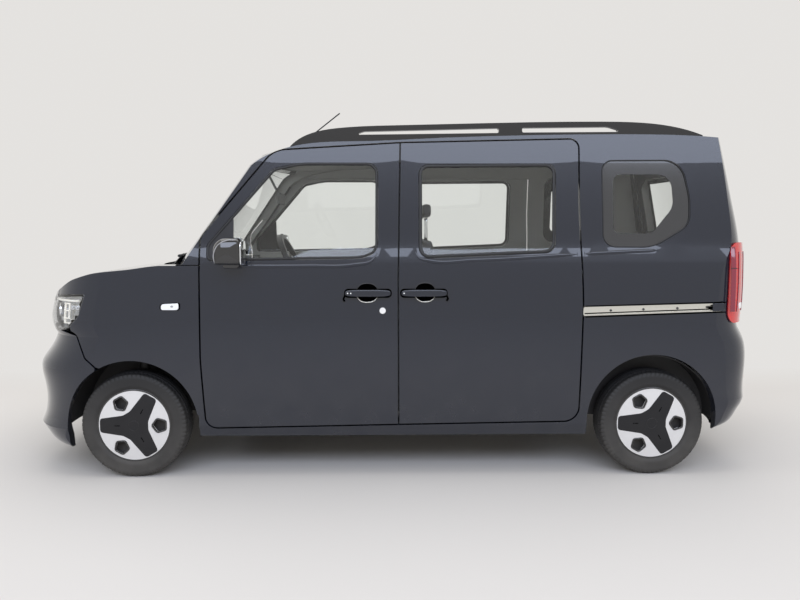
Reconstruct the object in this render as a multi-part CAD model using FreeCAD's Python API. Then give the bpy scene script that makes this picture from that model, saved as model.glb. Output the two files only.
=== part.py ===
import FreeCAD, Part
import math
import os

# Kei-style microvan. It faces -X, +Z is up, and the origin is on the ground at the middle of its bounding box.
# The left side is the side at negative Y. Every length is in millimetres.
# Outlines seen from the side are in shares: x counted from the front axle over the wheelbase, z over the roof height.
# Outlines seen from the front are in shares of the half width and of the roof height.

V = FreeCAD.Vector

# Driving dimensions of the whole vehicle
LENGTH = 3790.0
HALF_WIDTH = 770.0
ROOF_HEIGHT = 1748.0
WHEELBASE = 2600.0
FRONT_OVERHANG = 621.0
TRACK = 1355.0
WALL = 58.0
ROOF_WALL = 42.0
NOSE_WALL = 26.0
SHUT_GAP = 8.0
OVERRUN = 300.0
SEAT_CLEARANCE = 0.3
SAME_POINT = 1e-6
SLIVER_VOLUME = 100.0

# Plan and crown of the body surfaces
SCREEN_BOW = 108.0
ROOF_CROWN = 49.0
BONNET_BOW = 38.0
BOW_REACH_SHARE = 1.04
BOW_STEPS = 4

# Glass
GLASS = 5.0
GLASS_RECESS = 7.0
SCREEN_GLASS = 6.0

# Wheels
TYRE_RADIUS = 266.0
TYRE_WIDTH = 155.0
RIM_RADIUS = 178.0
RIM_WIDTH = 126.0
RIM_WALL = 7.0
HUB_BORE_RADIUS = 27.0
COVER_RADIUS = RIM_RADIUS
COVER_DEPTH = 26.0
COVER_WALL = 5.0
ARCH_RADIUS = 326.0

# Places worked out from the driving dimensions
NOSE_X = -LENGTH / 2
FRONT_AXLE_X = NOSE_X + FRONT_OVERHANG
REAR_AXLE_X = FRONT_AXLE_X + WHEELBASE
AXLE_Z = TYRE_RADIUS
HALF_TRACK = TRACK / 2
FAR = LENGTH

# Cross-section of the body side, from the sill up, as shares of the half width and the roof height
SIDE_TUCK_SHARES = [(0.9100, 0.0200), (0.9455, 0.1173), (0.9766, 0.1499)]
SIDE_SKIN_SHARES = [
    (0.9766, 0.1499), (0.9922, 0.2403), (1.0000, 0.3890), (0.9987, 0.5149), (0.9922, 0.5950),
    (0.9831, 0.6264), (0.9675, 0.6579), (0.9519, 0.7151), (0.9351, 0.7895), (0.9130, 0.8753),
    (0.8883, 0.9668), (0.8640, 1.0600),
]

# Side profiles on the centre line
FACE_PROFILE_SHARES = [
    (-0.1869, 0.0818), (-0.2065, 0.0864), (-0.2165, 0.0955), (-0.2335, 0.1293), (-0.2388, 0.1419),
    (-0.2323, 0.1659), (-0.2312, 0.2632), (-0.2335, 0.3238), (-0.2231, 0.3473), (-0.2081, 0.3804),
    (-0.2015, 0.4073), (-0.2088, 0.4279), (-0.2023, 0.5143), (-0.1950, 0.6300),
]
BONNET_PROFILE_SHARES = [
    (-0.2365, 0.4520), (-0.2096, 0.4863), (-0.1904, 0.5120), (-0.1685, 0.5320), (-0.1485, 0.5492),
    (-0.1285, 0.5658), (-0.1085, 0.5761), (-0.0885, 0.5847), (-0.0492, 0.5932), (-0.0096, 0.5990),
    (0.0196, 0.6053), (0.0696, 0.6110), (0.1500, 0.6167),
]
SCREEN_LINE_SHARES = [(0.0315, 0.5812), (0.1954, 0.9119)]
ROOF_PROFILE_SHARES = [
    (0.1954, 0.9119), (0.2146, 0.9319), (0.2435, 0.9514), (0.2723, 0.9645), (0.3019, 0.9725),
    (0.4162, 0.9800), (0.5115, 0.9863), (0.7031, 0.9966), (0.8373, 1.0000), (0.9723, 1.0000),
    (1.0885, 0.9920), (1.1250, 0.9860), (1.2442, 0.9600),
]
TAIL_PROFILE_SHARES = [
    (1.1400, 0.0800), (1.1746, 0.1362), (1.1923, 0.1493), (1.2077, 0.1831), (1.2169, 0.2071),
    (1.2188, 0.2191), (1.2185, 0.2946), (1.2173, 0.3696), (1.2135, 0.3902), (1.2050, 0.4142),
    (1.1980, 0.4497), (1.2004, 0.5149), (1.2000, 0.6007), (1.1965, 0.6785), (1.1815, 0.7809),
    (1.1650, 0.8822), (1.1500, 0.9700), (1.1350, 1.0600),
]

# Plan curves, half width share against shift share of the half width
FACE_PLAN_SHARES = [
    (0.0, 0.0), (0.364, 0.0139), (0.545, 0.0470), (0.727, 0.1113), (0.8325, 0.1780), (0.9156, 0.2680),
    (0.9714, 0.3766), (1.0, 0.4870), (1.04, 0.7000),
]
TAIL_PLAN_SHARES = [
    (0.0, 0.0), (0.390, -0.0016), (0.584, -0.0125), (0.727, -0.0374), (0.853, -0.0831), (0.923, -0.1325),
    (0.965, -0.1870), (0.991, -0.2494), (1.010, -0.3250), (1.04, -0.4800),
]

# Outlines of doors, windows and panels: x share, z share, corner radius as a share of the roof height
FRONT_DOOR_SHARES = [
    (0.1385, 0.1430, 0.0343), (0.1315, 0.3432, 0.3432), (0.1335, 0.6876, 0.0458), (0.2723, 0.9319, 0.0744),
    (0.5115, 0.9537, 0.0023), (0.5073, 0.5721, 1.1442), (0.5081, 0.1522, 0.0023),
]
SLIDING_DOOR_SHARES = [
    (0.5115, 0.9537, 0.0023), (0.5073, 0.5721, 1.1442), (0.5081, 0.1522, 0.0023), (0.8562, 0.1596, 0.0429),
    (0.8600, 0.4920, 0.5149), (0.8519, 0.7723, 0.3432), (0.8519, 0.9657, 0.0275),
]
FRONT_WINDOW_SHARES = [
    (0.1462, 0.6207, 0.0143), (0.1462, 0.6665, 0.0229), (0.2723, 0.8810, 0.0343), (0.3231, 0.8970, 0.2288),
    (0.4696, 0.8970, 0.0315), (0.4688, 0.6465, 0.0343), (0.4404, 0.6281, 0.1716),
]
SLIDING_WINDOW_SHARES = [
    (0.5462, 0.6270, 0.0315), (0.5462, 0.8924, 0.0286), (0.8077, 0.8959, 0.0286), (0.8065, 0.6436, 0.0315),
]
QUARTER_WINDOW_SHARES = [
    (0.8942, 0.9056, 0.0315), (0.8969, 0.6590, 0.0372), (0.9942, 0.6579, 0.1259), (1.0646, 0.7208, 0.0515),
    (1.0646, 0.8009, 0.1716), (1.0481, 0.9068, 0.0629),
]
HEADLAMP_SHARES = [
    (-0.1446, 0.4239, 0.0034), (-0.1254, 0.4296, 0.0343), (-0.0985, 0.4668, 0.0515), (-0.0931, 0.4954, 0.0515),
    (-0.0850, 0.5269, 0.0034), (-0.1458, 0.5217, 0.0172), (-0.2600, 0.5130, 0.0034), (-0.2600, 0.4239, 0.0034),
]
FENDER_SHARES = [
    (-0.0673, 0.3215, 0.0034), (-0.0865, 0.3490, 0.0172), (-0.1058, 0.4119, 0.0114), (-0.1254, 0.4296, 0.0343),
    (-0.0985, 0.4668, 0.0515), (-0.0931, 0.4954, 0.0515), (-0.0850, 0.5269, 0.0034), (-0.1458, 0.5217, 0.0034),
    (-0.2600, 0.5130, 0.0034), (-0.2800, 0.6110, 0.0034), (0.1400, 0.6110, 0.0034), (0.1738, 0.1170, 0.0034),
    (0.0500, 0.1170, 0.0034), (0.0500, 0.2500, 0.0034),
]
TAIL_LAMP_SHARES = [
    (1.1390, 0.4640, 0.0343), (1.1400, 0.6560, 0.0515), (1.1520, 0.6740, 0.0400), (1.2400, 0.6690, 0.0046),
    (1.2400, 0.4440, 0.0046), (1.1500, 0.4420, 0.0343),
]
ROOF_RAIL_SHARES = [
    (0.2992, 0.9440), (0.3188, 0.9680), (0.3573, 0.9897), (0.3962, 0.9983), (0.5119, 1.0063),
    (0.7062, 1.0137), (0.9012, 1.0177), (0.9796, 1.0149), (1.0585, 0.9983), (1.0981, 0.9800),
]
RAIL_SLOTS_SHARES = [
    [(0.4250, 0.9790, 0.0034), (0.4420, 0.9885, 0.0343), (0.7020, 0.9985, 0.0046), (0.7020, 0.9850, 0.0046)],
    [(0.7470, 0.9865, 0.0046), (0.7470, 0.9995, 0.0046), (0.9150, 1.0030, 0.0515), (0.9462, 0.9890, 0.0034)],
]

TRACK_LINE_SHARES = ((0.4905, 0.5010), (0.4650, 0.4785))
TRACK_END_SHARE = 1.1250
TRACK_DEPTH = 20.0
TRACK_RECESS = 2.0
TRACK_LIP = 5.0
TRACK_GAP = 5.0

# Panel edges seen from the front, from the back and from above
ROOF_HALF = 596.0
SCREEN_FOOT_HALF = 668.0
SCREEN_FOOT_Z = 1096.0
HEADER_Z = 1622.0
BONNET_HALF = 612.0
BONNET_EDGE_Z = 907.0
SHOULDER_Z = 1068.0
COWL_DEPTH = 74.0
HEADLAMP_INNER_HALF = 395.0
TAILGATE_FOOT_HALF = 640.0
TAILGATE_TOP_HALF = 590.0
TAILGATE_FOOT_Z = 690.0
TAILGATE_WALL = 58.0
LAMP_DEPTH = 62.0
TAIL_LAMP_PROUD = 20.0
QUARTER_START_SHARE = 0.8500
SILL_HALF_INNER = 640.0

# Body seams and clearances
DOOR_INNER = 640.0
DOOR_SWEEP = 13.0
TAILGATE_GAP = 9.0
TAILGATE_TOP_GAP = 12.0
TAILGATE_TOP_X = 1620.0
TAILGATE_RIM = 60.0
REAR_WINDOW_FOOT_HALF = 575.0
REAR_WINDOW_FOOT_Z = 1225.0
REAR_WINDOW_TOP_HALF = 545.0
REAR_WINDOW_TOP_Z = 1560.0
BUMPER_HALF = 700.0
REAR_BUMPER_X = 1668.0
REAR_BUMPER_BOTTOM_Z = 238.0
TAIL_LAMP_INNER_HALF = 652.0
QUARTER_X = FRONT_AXLE_X + QUARTER_START_SHARE * WHEELBASE
QUARTER_BOTTOM_Z = 226.0
ARCH_SHIFT = 4.0
ARCH_CENTRE_Z = 270.0
REAR_ARCH_CENTRE_Z = 292.0
ARCH_INNER_HALF = 560.0
INTAKE_SLOTS = 3
INTAKE_Z = 262.0
INTAKE_PITCH = 48.0
INTAKE_SLOT = 26.0
INTAKE_HALF = 330.0
BUMPER_SHARES = [
    (-0.0673, 0.3215, 0.0034), (-0.0865, 0.3490, 0.0172), (-0.1058, 0.4119, 0.0114), (-0.1446, 0.4239, 0.0034),
    (-0.1600, 0.5160, 0.0034), (-0.2800, 0.5160, 0.0034), (-0.2800, 0.0400, 0.0034), (-0.0673, 0.0400, 0.0034),
]

# Sills, pillars and floor
SILL_START_X = -949.0
SILL_END_X = 996.0
SILL_BOTTOM_Z = 206.0
SILL_TOP_Z = 320.0
B_PILLAR_X = -5.0
B_PILLAR_LENGTH = 120.0
PILLAR_DEPTH = 45.0
FLOOR_Z = 255.0
FLOOR_DEPTH = 30.0
STEP_X = 890.0
STEP_Z = 460.0
REAR_FLOOR_END_X = 1740.0
LONG_RAIL_HALF = 500.0
RAIL_SIZE = 60.0
BULKHEAD_X = -914.0
COWL_BEND_Z = 900.0
COWL_X = -1200.0
COWL_Z = 1020.0
COWL_WALL = 14.0
COWL_HALF = 690.0
COWL_RECESS = GLASS_RECESS + SCREEN_GLASS + GLASS

# Hinges of the doors, the bonnet and the tailgate
DOOR_AXIS_X = -904.0
DOOR_AXIS_HALF = 758.0
LOWER_HINGE_Z = 560.0
UPPER_HINGE_Z = 900.0
HINGE_LEVELS = (LOWER_HINGE_Z, UPPER_HINGE_Z)
HINGE_PILLAR_LENGTH = 44.0
LUG_HEIGHT = 30.0
LUG_AHEAD = 3.0
LUG_BEHIND = 9.0
PIN_RADIUS = 5.0
PIN_REACH = 12.0
POCKET_BEHIND = 20.0
RUNNER_X = 62.0
RUNNER_LENGTH = 50.0
RUNNER_HEIGHT = 30.0
GATE_AXIS_X = 1655.0
GATE_AXIS_Z = 1700.0
GATE_LUG_HALF = 350.0
REAR_HEADER_Z = 1606.0
REAR_HEADER_WALL = 20.0
REAR_HEADER_HALF = 400.0
BONNET_AXIS_X = -1120.0
BONNET_AXIS_Z = 1046.0
BONNET_ARM = 120.0
BONNET_ARM_DEPTH = 12.0
BONNET_ARM_HALF = 546.0

# Running gear
RIM_SEAT_RADIUS = 168.0
TYRE_SHOULDER = 22.0
DISC_OUT = 20.0
COVER_CROWN = 12.0
COVER_WINDOWS = 3
COVER_WINDOW_REACH = 127.0
COVER_WINDOW_RADIUS = 36.0
WINDOW_SIDES = 5
KINGPIN_HALF = 640.0
KNUCKLE_BOTTOM_Z = 205.0
KNUCKLE_RADIUS = 24.0
KNUCKLE_TOP_Z = 345.0
KINGPIN_RADIUS = 10.0
KINGPIN_REACH = 24.0
DAMPER_HALF = 545.0
DAMPER_RADIUS = 26.0
HUB_RADIUS = 55.0
HUB_LENGTH = 57.0
HUB_NOSE = 14.0
FRONT_RAIL_HALF = 370.0
FRONT_RAIL_Z = 330.0
ARM_Z = 165.0
ARM_THICKNESS = 30.0
FRONT_TUB_HALF = 440.0
REAR_TUB_HALF = 565.0
TUB_RADIUS = 338.0
TUB_WALL = 6.0
TUB_BOTTOM_Z = 268.0
DOME_RADIUS = 62.0
DOME_TOP_Z = 745.0
AXLE_TUBE_RADIUS = 35.0
SPRING_REACH = 370.0
SPRING_WIDTH = 60.0
SPRING_DEPTH = 16.0
BATTERY_X = -490.0
BATTERY_LENGTH = 1330.0
BATTERY_HALF = 460.0
BATTERY_Z = 165.0
MOTOR_LENGTH = 230.0
MOTOR_HALF = 190.0
MOTOR_Z = 185.0
MOTOR_HEIGHT = 230.0

# Cabin
DASH_BOTTOM_Z = 730.0
DASH_TOP_Z = 1010.0
DASH_FACE_X = -640.0
DASH_ROUND = 60.0
DASH_HALF = 625.0
STEERING_X = -509.0
STEERING_HALF = 350.0
STEERING_Z = 1045.0
WHEEL_CENTRE = V(STEERING_X, -STEERING_HALF, STEERING_Z)
COLUMN_TILT_DEG = 26.0
COLUMN_LENGTH = 150.0
COLUMN_RADIUS = 30.0
HUB_DEPTH = 45.0
JOINT_GAP = 6.0
STEERING_RADIUS = 185.0
GRIP_RADIUS = 14.0
STEERING_HUB_RADIUS = 62.0
SPOKE_RADIUS = 12.0
SPOKE_TURNS_DEG = (0.0, 180.0, 270.0)
SEAT_HALF = 345.0
SEAT_WIDTH = 490.0
SEAT_BOX_WIDTH = 420.0
SEAT_LENGTH = 500.0
SEAT_SLOPE = 40.0
FRONT_SEAT_X = -450.0
REAR_SEAT_X = 390.0
BENCH_HALF = 590.0
CUSHION_Z = 430.0
CUSHION_DEPTH = 120.0
CUSHION_EDGE = 35.0
BACK_DEPTH = 110.0
BACK_HEIGHT = 780.0
BENCH_BACK = 560.0
BENCH_SIDE_GAP = 30.0
SEAT_LEAN_DEG = 10.0
HEAD_GAP = 80.0
HEAD_DEPTH = 75.0
HEAD_WIDTH = 260.0
HEAD_HEIGHT = 98.0
POST_RADIUS = 7.0
MIRROR_X = -640.0
MIRROR_DEPTH = 24.0
MIRROR_HALF = 115.0
MIRROR_Z = 1385.0
MIRROR_HEIGHT = 64.0

# Outside fittings
DOOR_MIRROR_X = -833.0
DOOR_MIRROR_LENGTH = 137.0
DOOR_MIRROR_REACH = 925.0
DOOR_MIRROR_INNER = 772.0
DOOR_MIRROR_Z = 1072.0
DOOR_MIRROR_HEIGHT = 131.0
DOOR_MIRROR_ROUND = 28.0
DOOR_MIRROR_FOOT = 20.0
HANDLE_Z = 914.0
HANDLE_REACH = 34.0
HANDLE_LENGTH = 222.0
HANDLE_BAR = 14.0
HANDLE_HEIGHT = 34.0
HANDLE_FOOT = 22.0
FRONT_HANDLE_X = -215.0
REAR_HANDLE_X = 60.0
RAIL_HALF = 614.0
RAIL_WIDTH = 34.0
LEFT_WIPER_Y = -520.0
RIGHT_WIPER_Y = 60.0
WIPER_LENGTH = 430.0
WIPER_RADIUS = 7.0
WIPER_Z = 1104.0
WIPER_KNEE_Z = 1052.0
WIPER_STANDOFF = 12.0
ANTENNA_X = -554.0
ANTENNA_LENGTH = 348.0
ANTENNA_RADIUS = 3.5
ANTENNA_LEAN_DEG = 38.0
ANTENNA_FOOT = 22.0
ANTENNA_FOOT_HEIGHT = 15.0
REPEATER_X = -1117.0
REPEATER_LENGTH = 88.0
REPEATER_Z = 847.0
REPEATER_HEIGHT = 35.0
REPEATER_PROUD = 8.0


def side(x_share, z_share, y=0.0):
    """A point of a side outline, from its shares of the wheelbase and the roof height."""
    return V(FRONT_AXLE_X + x_share * WHEELBASE, y, z_share * ROOF_HEIGHT)


def box(x0, x1, y0, y1, z0, z1):
    """An upright block between two corners."""
    return Part.makeBox(x1 - x0, y1 - y0, z1 - z0, V(x0, y0, z0))


def mirrored(shape):
    """The same shape on the other side of the vehicle."""
    return shape.mirror(V(0, 0, 0), V(0, 1, 0))


def spline(points):
    """One smooth edge through the points."""
    curve = Part.BSplineCurve()
    curve.interpolate(points)
    return curve.toShape()


def polygon(points):
    """A closed wire of straight edges."""
    return Part.makePolygon(list(points) + [points[0]])


def rounded(corners):
    """A closed wire through (point, radius) corners, each rounded by a tangent arc."""
    count = len(corners)
    starts, ends, arcs = [], [], []
    for i, (p, radius) in enumerate(corners):
        to_last = (corners[i - 1][0] - p)
        to_next = (corners[(i + 1) % count][0] - p)
        room = min(to_last.Length, to_next.Length) / 2
        a = V(to_last).normalize()
        b = V(to_next).normalize()
        half = a.getAngle(b) / 2
        reach = min(radius / math.tan(half), room)
        true_radius = reach * math.tan(half)
        middle = (a + b).normalize()
        start, end = p + a * reach, p + b * reach
        arcs.append(Part.Arc(start, p + middle * (true_radius / math.sin(half) - true_radius), end).toShape())
        starts.append(start)
        ends.append(end)
    edges = []
    for i in range(count):
        edges.append(arcs[i])
        after = (i + 1) % count
        if ends[i].distanceToPoint(starts[after]) > SAME_POINT:
            edges.append(Part.makeLine(ends[i], starts[after]))
    return Part.Wire(edges)


def outline(shares, grow=0.0):
    """A closed wire in the XZ plane from a table of shares, grown or shrunk by a distance."""
    wire = rounded([(side(x, z), radius * ROOF_HEIGHT) for x, z, radius in shares])
    return wire.makeOffset2D(grow) if grow else wire


def across(wire, y0, y1):
    """The solid of a side outline between two Y planes."""
    face = Part.Face(wire)
    face.translate(V(0, y0, 0))
    return face.extrude(V(0, y1 - y0, 0))


def left(wire, inner=SILL_HALF_INNER / 2):
    """The solid of a side outline through the left body side."""
    return across(wire, -HALF_WIDTH - OVERRUN, -inner)


def translated_face(edge, path):
    """The exact surface that an edge makes when it is carried parallel to itself along a curve."""
    rib = edge.Curve.toBSpline(edge.FirstParameter, edge.LastParameter)
    start = path.getPoles()[0]
    poles = [[foot + step - start for step in path.getPoles()] for foot in rib.getPoles()]
    surface = Part.BSplineSurface()
    surface.buildFromPolesMultsKnots(poles, rib.getMultiplicities(), path.getMultiplicities(),
                                     rib.getKnots(), path.getKnots(), False, False, rib.Degree, path.Degree)
    return surface.toShape()


def swept(profile, shifts):
    """A closed profile on the centre line, carried parallel to itself along a symmetrical plan curve."""
    points = [V(x, -y, z) for y, x, z in reversed(shifts)] + [V(x, y, z) for y, x, z in shifts[1:]]
    path = spline(points).Curve
    near, far = (moved(profile, p.x, p.y, p.z) for p in (points[0], points[-1]))
    faces = [translated_face(edge, path) for edge in near.Edges] + [Part.Face(near), Part.Face(far)]
    shell = Part.makeShell(faces)
    shell.sewShape()
    solid = Part.makeSolid(shell)
    if solid.Volume < 0:
        solid.reverse()
    return solid


def bowed(x_bow, z_bow):
    """Shifts of a parabolic bow, stated where it meets the half width."""
    steps = [BOW_REACH_SHARE * k / BOW_STEPS for k in range(BOW_STEPS + 1)]
    return [(s * HALF_WIDTH, s * s * x_bow, -s * s * z_bow) for s in steps]


def plan(shares):
    """Shifts of a plan curve from its shares of the half width."""
    return [(y * HALF_WIDTH, x * HALF_WIDTH, 0.0) for y, x in shares]


def side_slab(inset):
    """The space between the two body sides, without front, rear or roof."""
    def at(y_share, z_share, sign):
        return V(-FAR, sign * (y_share * HALF_WIDTH - inset), z_share * ROOF_HEIGHT)
    edges = []
    for sign in (-1, 1):
        edges.append(spline([at(y, z, sign) for y, z in SIDE_SKIN_SHARES]))
        tuck = [at(y, z, sign) for y, z in SIDE_TUCK_SHARES]
        edges.extend(Part.makeLine(a, b) for a, b in zip(tuck, tuck[1:]))
    edges.append(Part.makeLine(at(*SIDE_TUCK_SHARES[0], -1), at(*SIDE_TUCK_SHARES[0], 1)))
    edges.append(Part.makeLine(at(*SIDE_SKIN_SHARES[-1], -1), at(*SIDE_SKIN_SHARES[-1], 1)))
    face = Part.Face(Part.Wire(Part.__sortEdges__(edges)))
    return face.extrude(V(2 * FAR, 0, 0))


def face_solid():
    """Everything behind the front face."""
    points = [side(x, z) for x, z in FACE_PROFILE_SHARES]
    first, top = points[0], points[-1]
    lower = spline(points[:5])
    middle = spline(points[4:11])
    upper = spline(points[10:])
    edges = [lower, middle, upper, Part.makeLine(top, V(FAR, 0, top.z)),
             Part.makeLine(V(FAR, 0, top.z), V(FAR, 0, first.z)), Part.makeLine(V(FAR, 0, first.z), first)]
    return swept(Part.Wire(edges), plan(FACE_PLAN_SHARES))


def bonnet_solid():
    """Everything under the bonnet line."""
    points = [side(x, z) for x, z in BONNET_PROFILE_SHARES]
    first, last = points[0], points[-1]
    corners = [V(FAR, 0, last.z), V(FAR, 0, 0), V(first.x, 0, 0)]
    edges = [spline(points), Part.makeLine(last, corners[0]), Part.makeLine(corners[0], corners[1]),
             Part.makeLine(corners[1], corners[2]), Part.makeLine(corners[2], first)]
    return swept(Part.Wire(edges), bowed(BONNET_BOW, 0.0))


def top_solid():
    """Everything under the windscreen and the roof."""
    foot = side(*SCREEN_LINE_SHARES[0])
    head = side(*SCREEN_LINE_SHARES[1])
    roof = [side(x, z) for x, z in ROOF_PROFILE_SHARES]
    last = roof[-1]
    edges = [Part.makeLine(foot, head), spline(roof), Part.makeLine(last, V(last.x, 0, 0)),
             Part.makeLine(V(last.x, 0, 0), V(foot.x, 0, 0)), Part.makeLine(V(foot.x, 0, 0), foot)]
    return swept(Part.Wire(edges), bowed(SCREEN_BOW, ROOF_CROWN))


def tail_solid():
    """Everything ahead of the rear face."""
    points = [side(x, z) for x, z in TAIL_PROFILE_SHARES]
    first, last = points[0], points[-1]
    edges = [spline(points[:6]), spline(points[5:11]), spline(points[10:]),
             Part.makeLine(last, V(-FAR, 0, last.z)), Part.makeLine(V(-FAR, 0, last.z), V(-FAR, 0, first.z)),
             Part.makeLine(V(-FAR, 0, first.z), first)]
    return swept(Part.Wire(edges), plan(TAIL_PLAN_SHARES))


def moved(shape, x, y, z):
    """A shifted copy."""
    copy = shape.copy()
    copy.translate(V(x, y, z))
    return copy


def body_skin():
    """The outer solid of the body, and the hollow inside it."""
    lower = side_slab(0.0).common(FACE).common(UNDER_BONNET)
    upper = side_slab(0.0).common(UNDER_TOP)
    outer = lower.common(AHEAD_OF_TAIL).fuse(upper.common(AHEAD_OF_TAIL))
    low_hollow = moved(FACE, NOSE_WALL, 0, -NOSE_WALL / 2).common(moved(UNDER_BONNET, 0, 0, -NOSE_WALL))
    high_hollow = moved(UNDER_TOP, ROOF_WALL, 0, -ROOF_WALL)
    behind = moved(AHEAD_OF_TAIL, -TAILGATE_WALL, 0, 0)
    slab = side_slab(WALL)
    inner = slab.common(low_hollow).common(behind).fuse(slab.common(high_hollow).common(behind))
    return outer, inner


def outer_layer(first, last):
    """The layer of the body sides between two depths below the skin."""
    return side_slab(first).cut(side_slab(last))


def door_space(shares):
    """The room that a door and the gap around it take from its neighbours, on both sides."""
    room = left(outline(shares, SHUT_GAP / 2), DOOR_INNER)
    return room.fuse(mirrored(room))


def arch(axle_x):
    """The wheel arch openings of one axle."""
    centre = V(axle_x - ARCH_SHIFT, 0, ARCH_CENTRE_Z if axle_x < 0 else REAR_ARCH_CENTRE_Z)
    round_part = Part.makeCylinder(ARCH_RADIUS, 2 * FAR, centre - V(0, FAR, 0), V(0, 1, 0))
    below = box(centre.x - ARCH_RADIUS, centre.x + ARCH_RADIUS, -FAR, FAR, -OVERRUN, centre.z)
    return round_part.fuse(below).cut(box(-FAR, FAR, -ARCH_INNER_HALF, ARCH_INNER_HALF, -OVERRUN, FAR))


def front_view(corners, x0, x1):
    """The solid of an outline seen from the front, stated for one half, between two X planes."""
    half = [V(x0, -y, z) for y, z in corners]
    other = [V(x0, y, z) for y, z in reversed(corners)]
    return Part.Face(polygon(half + other)).extrude(V(x1 - x0, 0, 0))


def screen_room(grow):
    """The windscreen opening seen from the front, grown by a distance."""
    corners = [(SCREEN_FOOT_HALF + grow, SCREEN_FOOT_Z - grow), (ROOF_HALF + grow, HEADER_Z + grow)]
    return front_view(corners, -FAR, 0)


def tailgate_room(grow):
    """The tailgate opening seen from the back, grown by a distance."""
    corners = [(TAILGATE_FOOT_HALF + grow, TAILGATE_FOOT_Z - grow),
               (TAILGATE_TOP_HALF + grow, ROOF_HEIGHT + WALL)]
    return front_view(corners, TAILGATE_TOP_X - grow, FAR)


def roof_panel():
    """The roof skin with its header, between the windscreen and the tailgate."""
    end = TAILGATE_TOP_X - TAILGATE_TOP_GAP
    roof = SHELL.common(box(-FAR, end, -ROOF_HALF, ROOF_HALF, HEADER_Z, FAR))
    web = box(end - 2 * REAR_HEADER_WALL, end - REAR_HEADER_WALL, -REAR_HEADER_HALF, REAR_HEADER_HALF,
              REAR_HEADER_Z, ROOF_HEIGHT)
    shelf = box(end - 2 * REAR_HEADER_WALL, GATE_AXIS_X + LUG_BEHIND, -REAR_HEADER_HALF, REAR_HEADER_HALF,
                REAR_HEADER_Z, REAR_HEADER_Z + REAR_HEADER_WALL)
    roof = roof.fuse(web.common(moved(UNDER_TOP, 0, 0, -ROOF_WALL / 2))).fuse(shelf)
    for y in (-GATE_LUG_HALF, GATE_LUG_HALF):
        roof = roof.fuse(box(GATE_AXIS_X, GATE_AXIS_X + LUG_BEHIND, y - LUG_HEIGHT / 2, y + LUG_HEIGHT / 2,
                             REAR_HEADER_Z, GATE_AXIS_Z))
        roof = roof.fuse(gate_pin(y, LUG_HEIGHT / 2 + PIN_REACH, PIN_RADIUS))
    return roof


def gate_pin(y, reach, radius):
    """A pin along the tailgate's hinge axis, centred on one lug."""
    return Part.makeCylinder(radius, 2 * reach, V(GATE_AXIS_X, y - reach, GATE_AXIS_Z), V(0, 1, 0))


def side_frames():
    """Windscreen pillars and the rails above the doors."""
    room = box(-FAR, QUARTER_X, -FAR, FAR, SHOULDER_Z, FAR)
    frame = SHELL.common(room).cut(box(-FAR, FAR, -ROOF_HALF, ROOF_HALF, HEADER_Z, FAR))
    frame = frame.cut(screen_room(0.0))
    return frame.cut(door_space(FRONT_DOOR_SHARES)).cut(door_space(SLIDING_DOOR_SHARES))


def upright_pin(x, y, z0, z1, radius):
    """An upright round pin."""
    return Part.makeCylinder(radius, z1 - z0, V(x, y, z0))


def inner_pillars():
    """Pillars inboard of the door edges; the front ones carry the hinge lugs and pins of the front doors."""
    layer = outer_layer(WALL + DOOR_SWEEP, WALL + DOOR_SWEEP + PILLAR_DEPTH)
    layer = layer.common(box(-FAR, FAR, -FAR, 0, SILL_TOP_Z, FAR))
    under_rail = moved(UNDER_TOP, ROOF_WALL, 0, -ROOF_WALL)
    rear = layer.common(box(B_PILLAR_X, B_PILLAR_X + B_PILLAR_LENGTH, -FAR, 0, 0, FAR)).common(under_rail)
    front = layer.common(box(BULKHEAD_X, BULKHEAD_X + HINGE_PILLAR_LENGTH, -FAR, 0, 0, SHOULDER_Z))
    for z in HINGE_LEVELS:
        lug = box(DOOR_AXIS_X - LUG_AHEAD, DOOR_AXIS_X + LUG_BEHIND, -DOOR_AXIS_HALF, -DOOR_INNER,
                  z, z + LUG_HEIGHT)
        pin = upright_pin(DOOR_AXIS_X, -DOOR_AXIS_HALF, z - PIN_REACH, z + LUG_HEIGHT + PIN_REACH, PIN_RADIUS)
        front = front.fuse(lug.cut(side_slab(WALL + DOOR_SWEEP + PILLAR_DEPTH))).fuse(pin)
    return Part.makeCompound([rear, front, mirrored(rear), mirrored(front)])


def sills():
    """Box sills under the doors, with an inner part that the doors close against."""
    room = box(SILL_START_X, SILL_END_X, -FAR, FAR, SILL_BOTTOM_Z, SILL_TOP_Z)
    low = OUTER.common(room)
    core = side_slab(WALL + DOOR_SWEEP).common(room)
    low = low.cut(door_space(FRONT_DOOR_SHARES)).cut(door_space(SLIDING_DOOR_SHARES)).fuse(core)
    low = low.cut(box(-FAR, FAR, -SILL_HALF_INNER, SILL_HALF_INNER, -OVERRUN, FAR))
    for axle_x in (FRONT_AXLE_X, REAR_AXLE_X):
        end = V(axle_x, WALL - HALF_WIDTH, ARCH_CENTRE_Z)
        tub = Part.makeCylinder(TUB_RADIUS + SEAT_CLEARANCE, 2 * (HALF_WIDTH - WALL), end, V(0, 1, 0))
        low = low.cut(arch(axle_x)).cut(tub)
    return low


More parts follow.
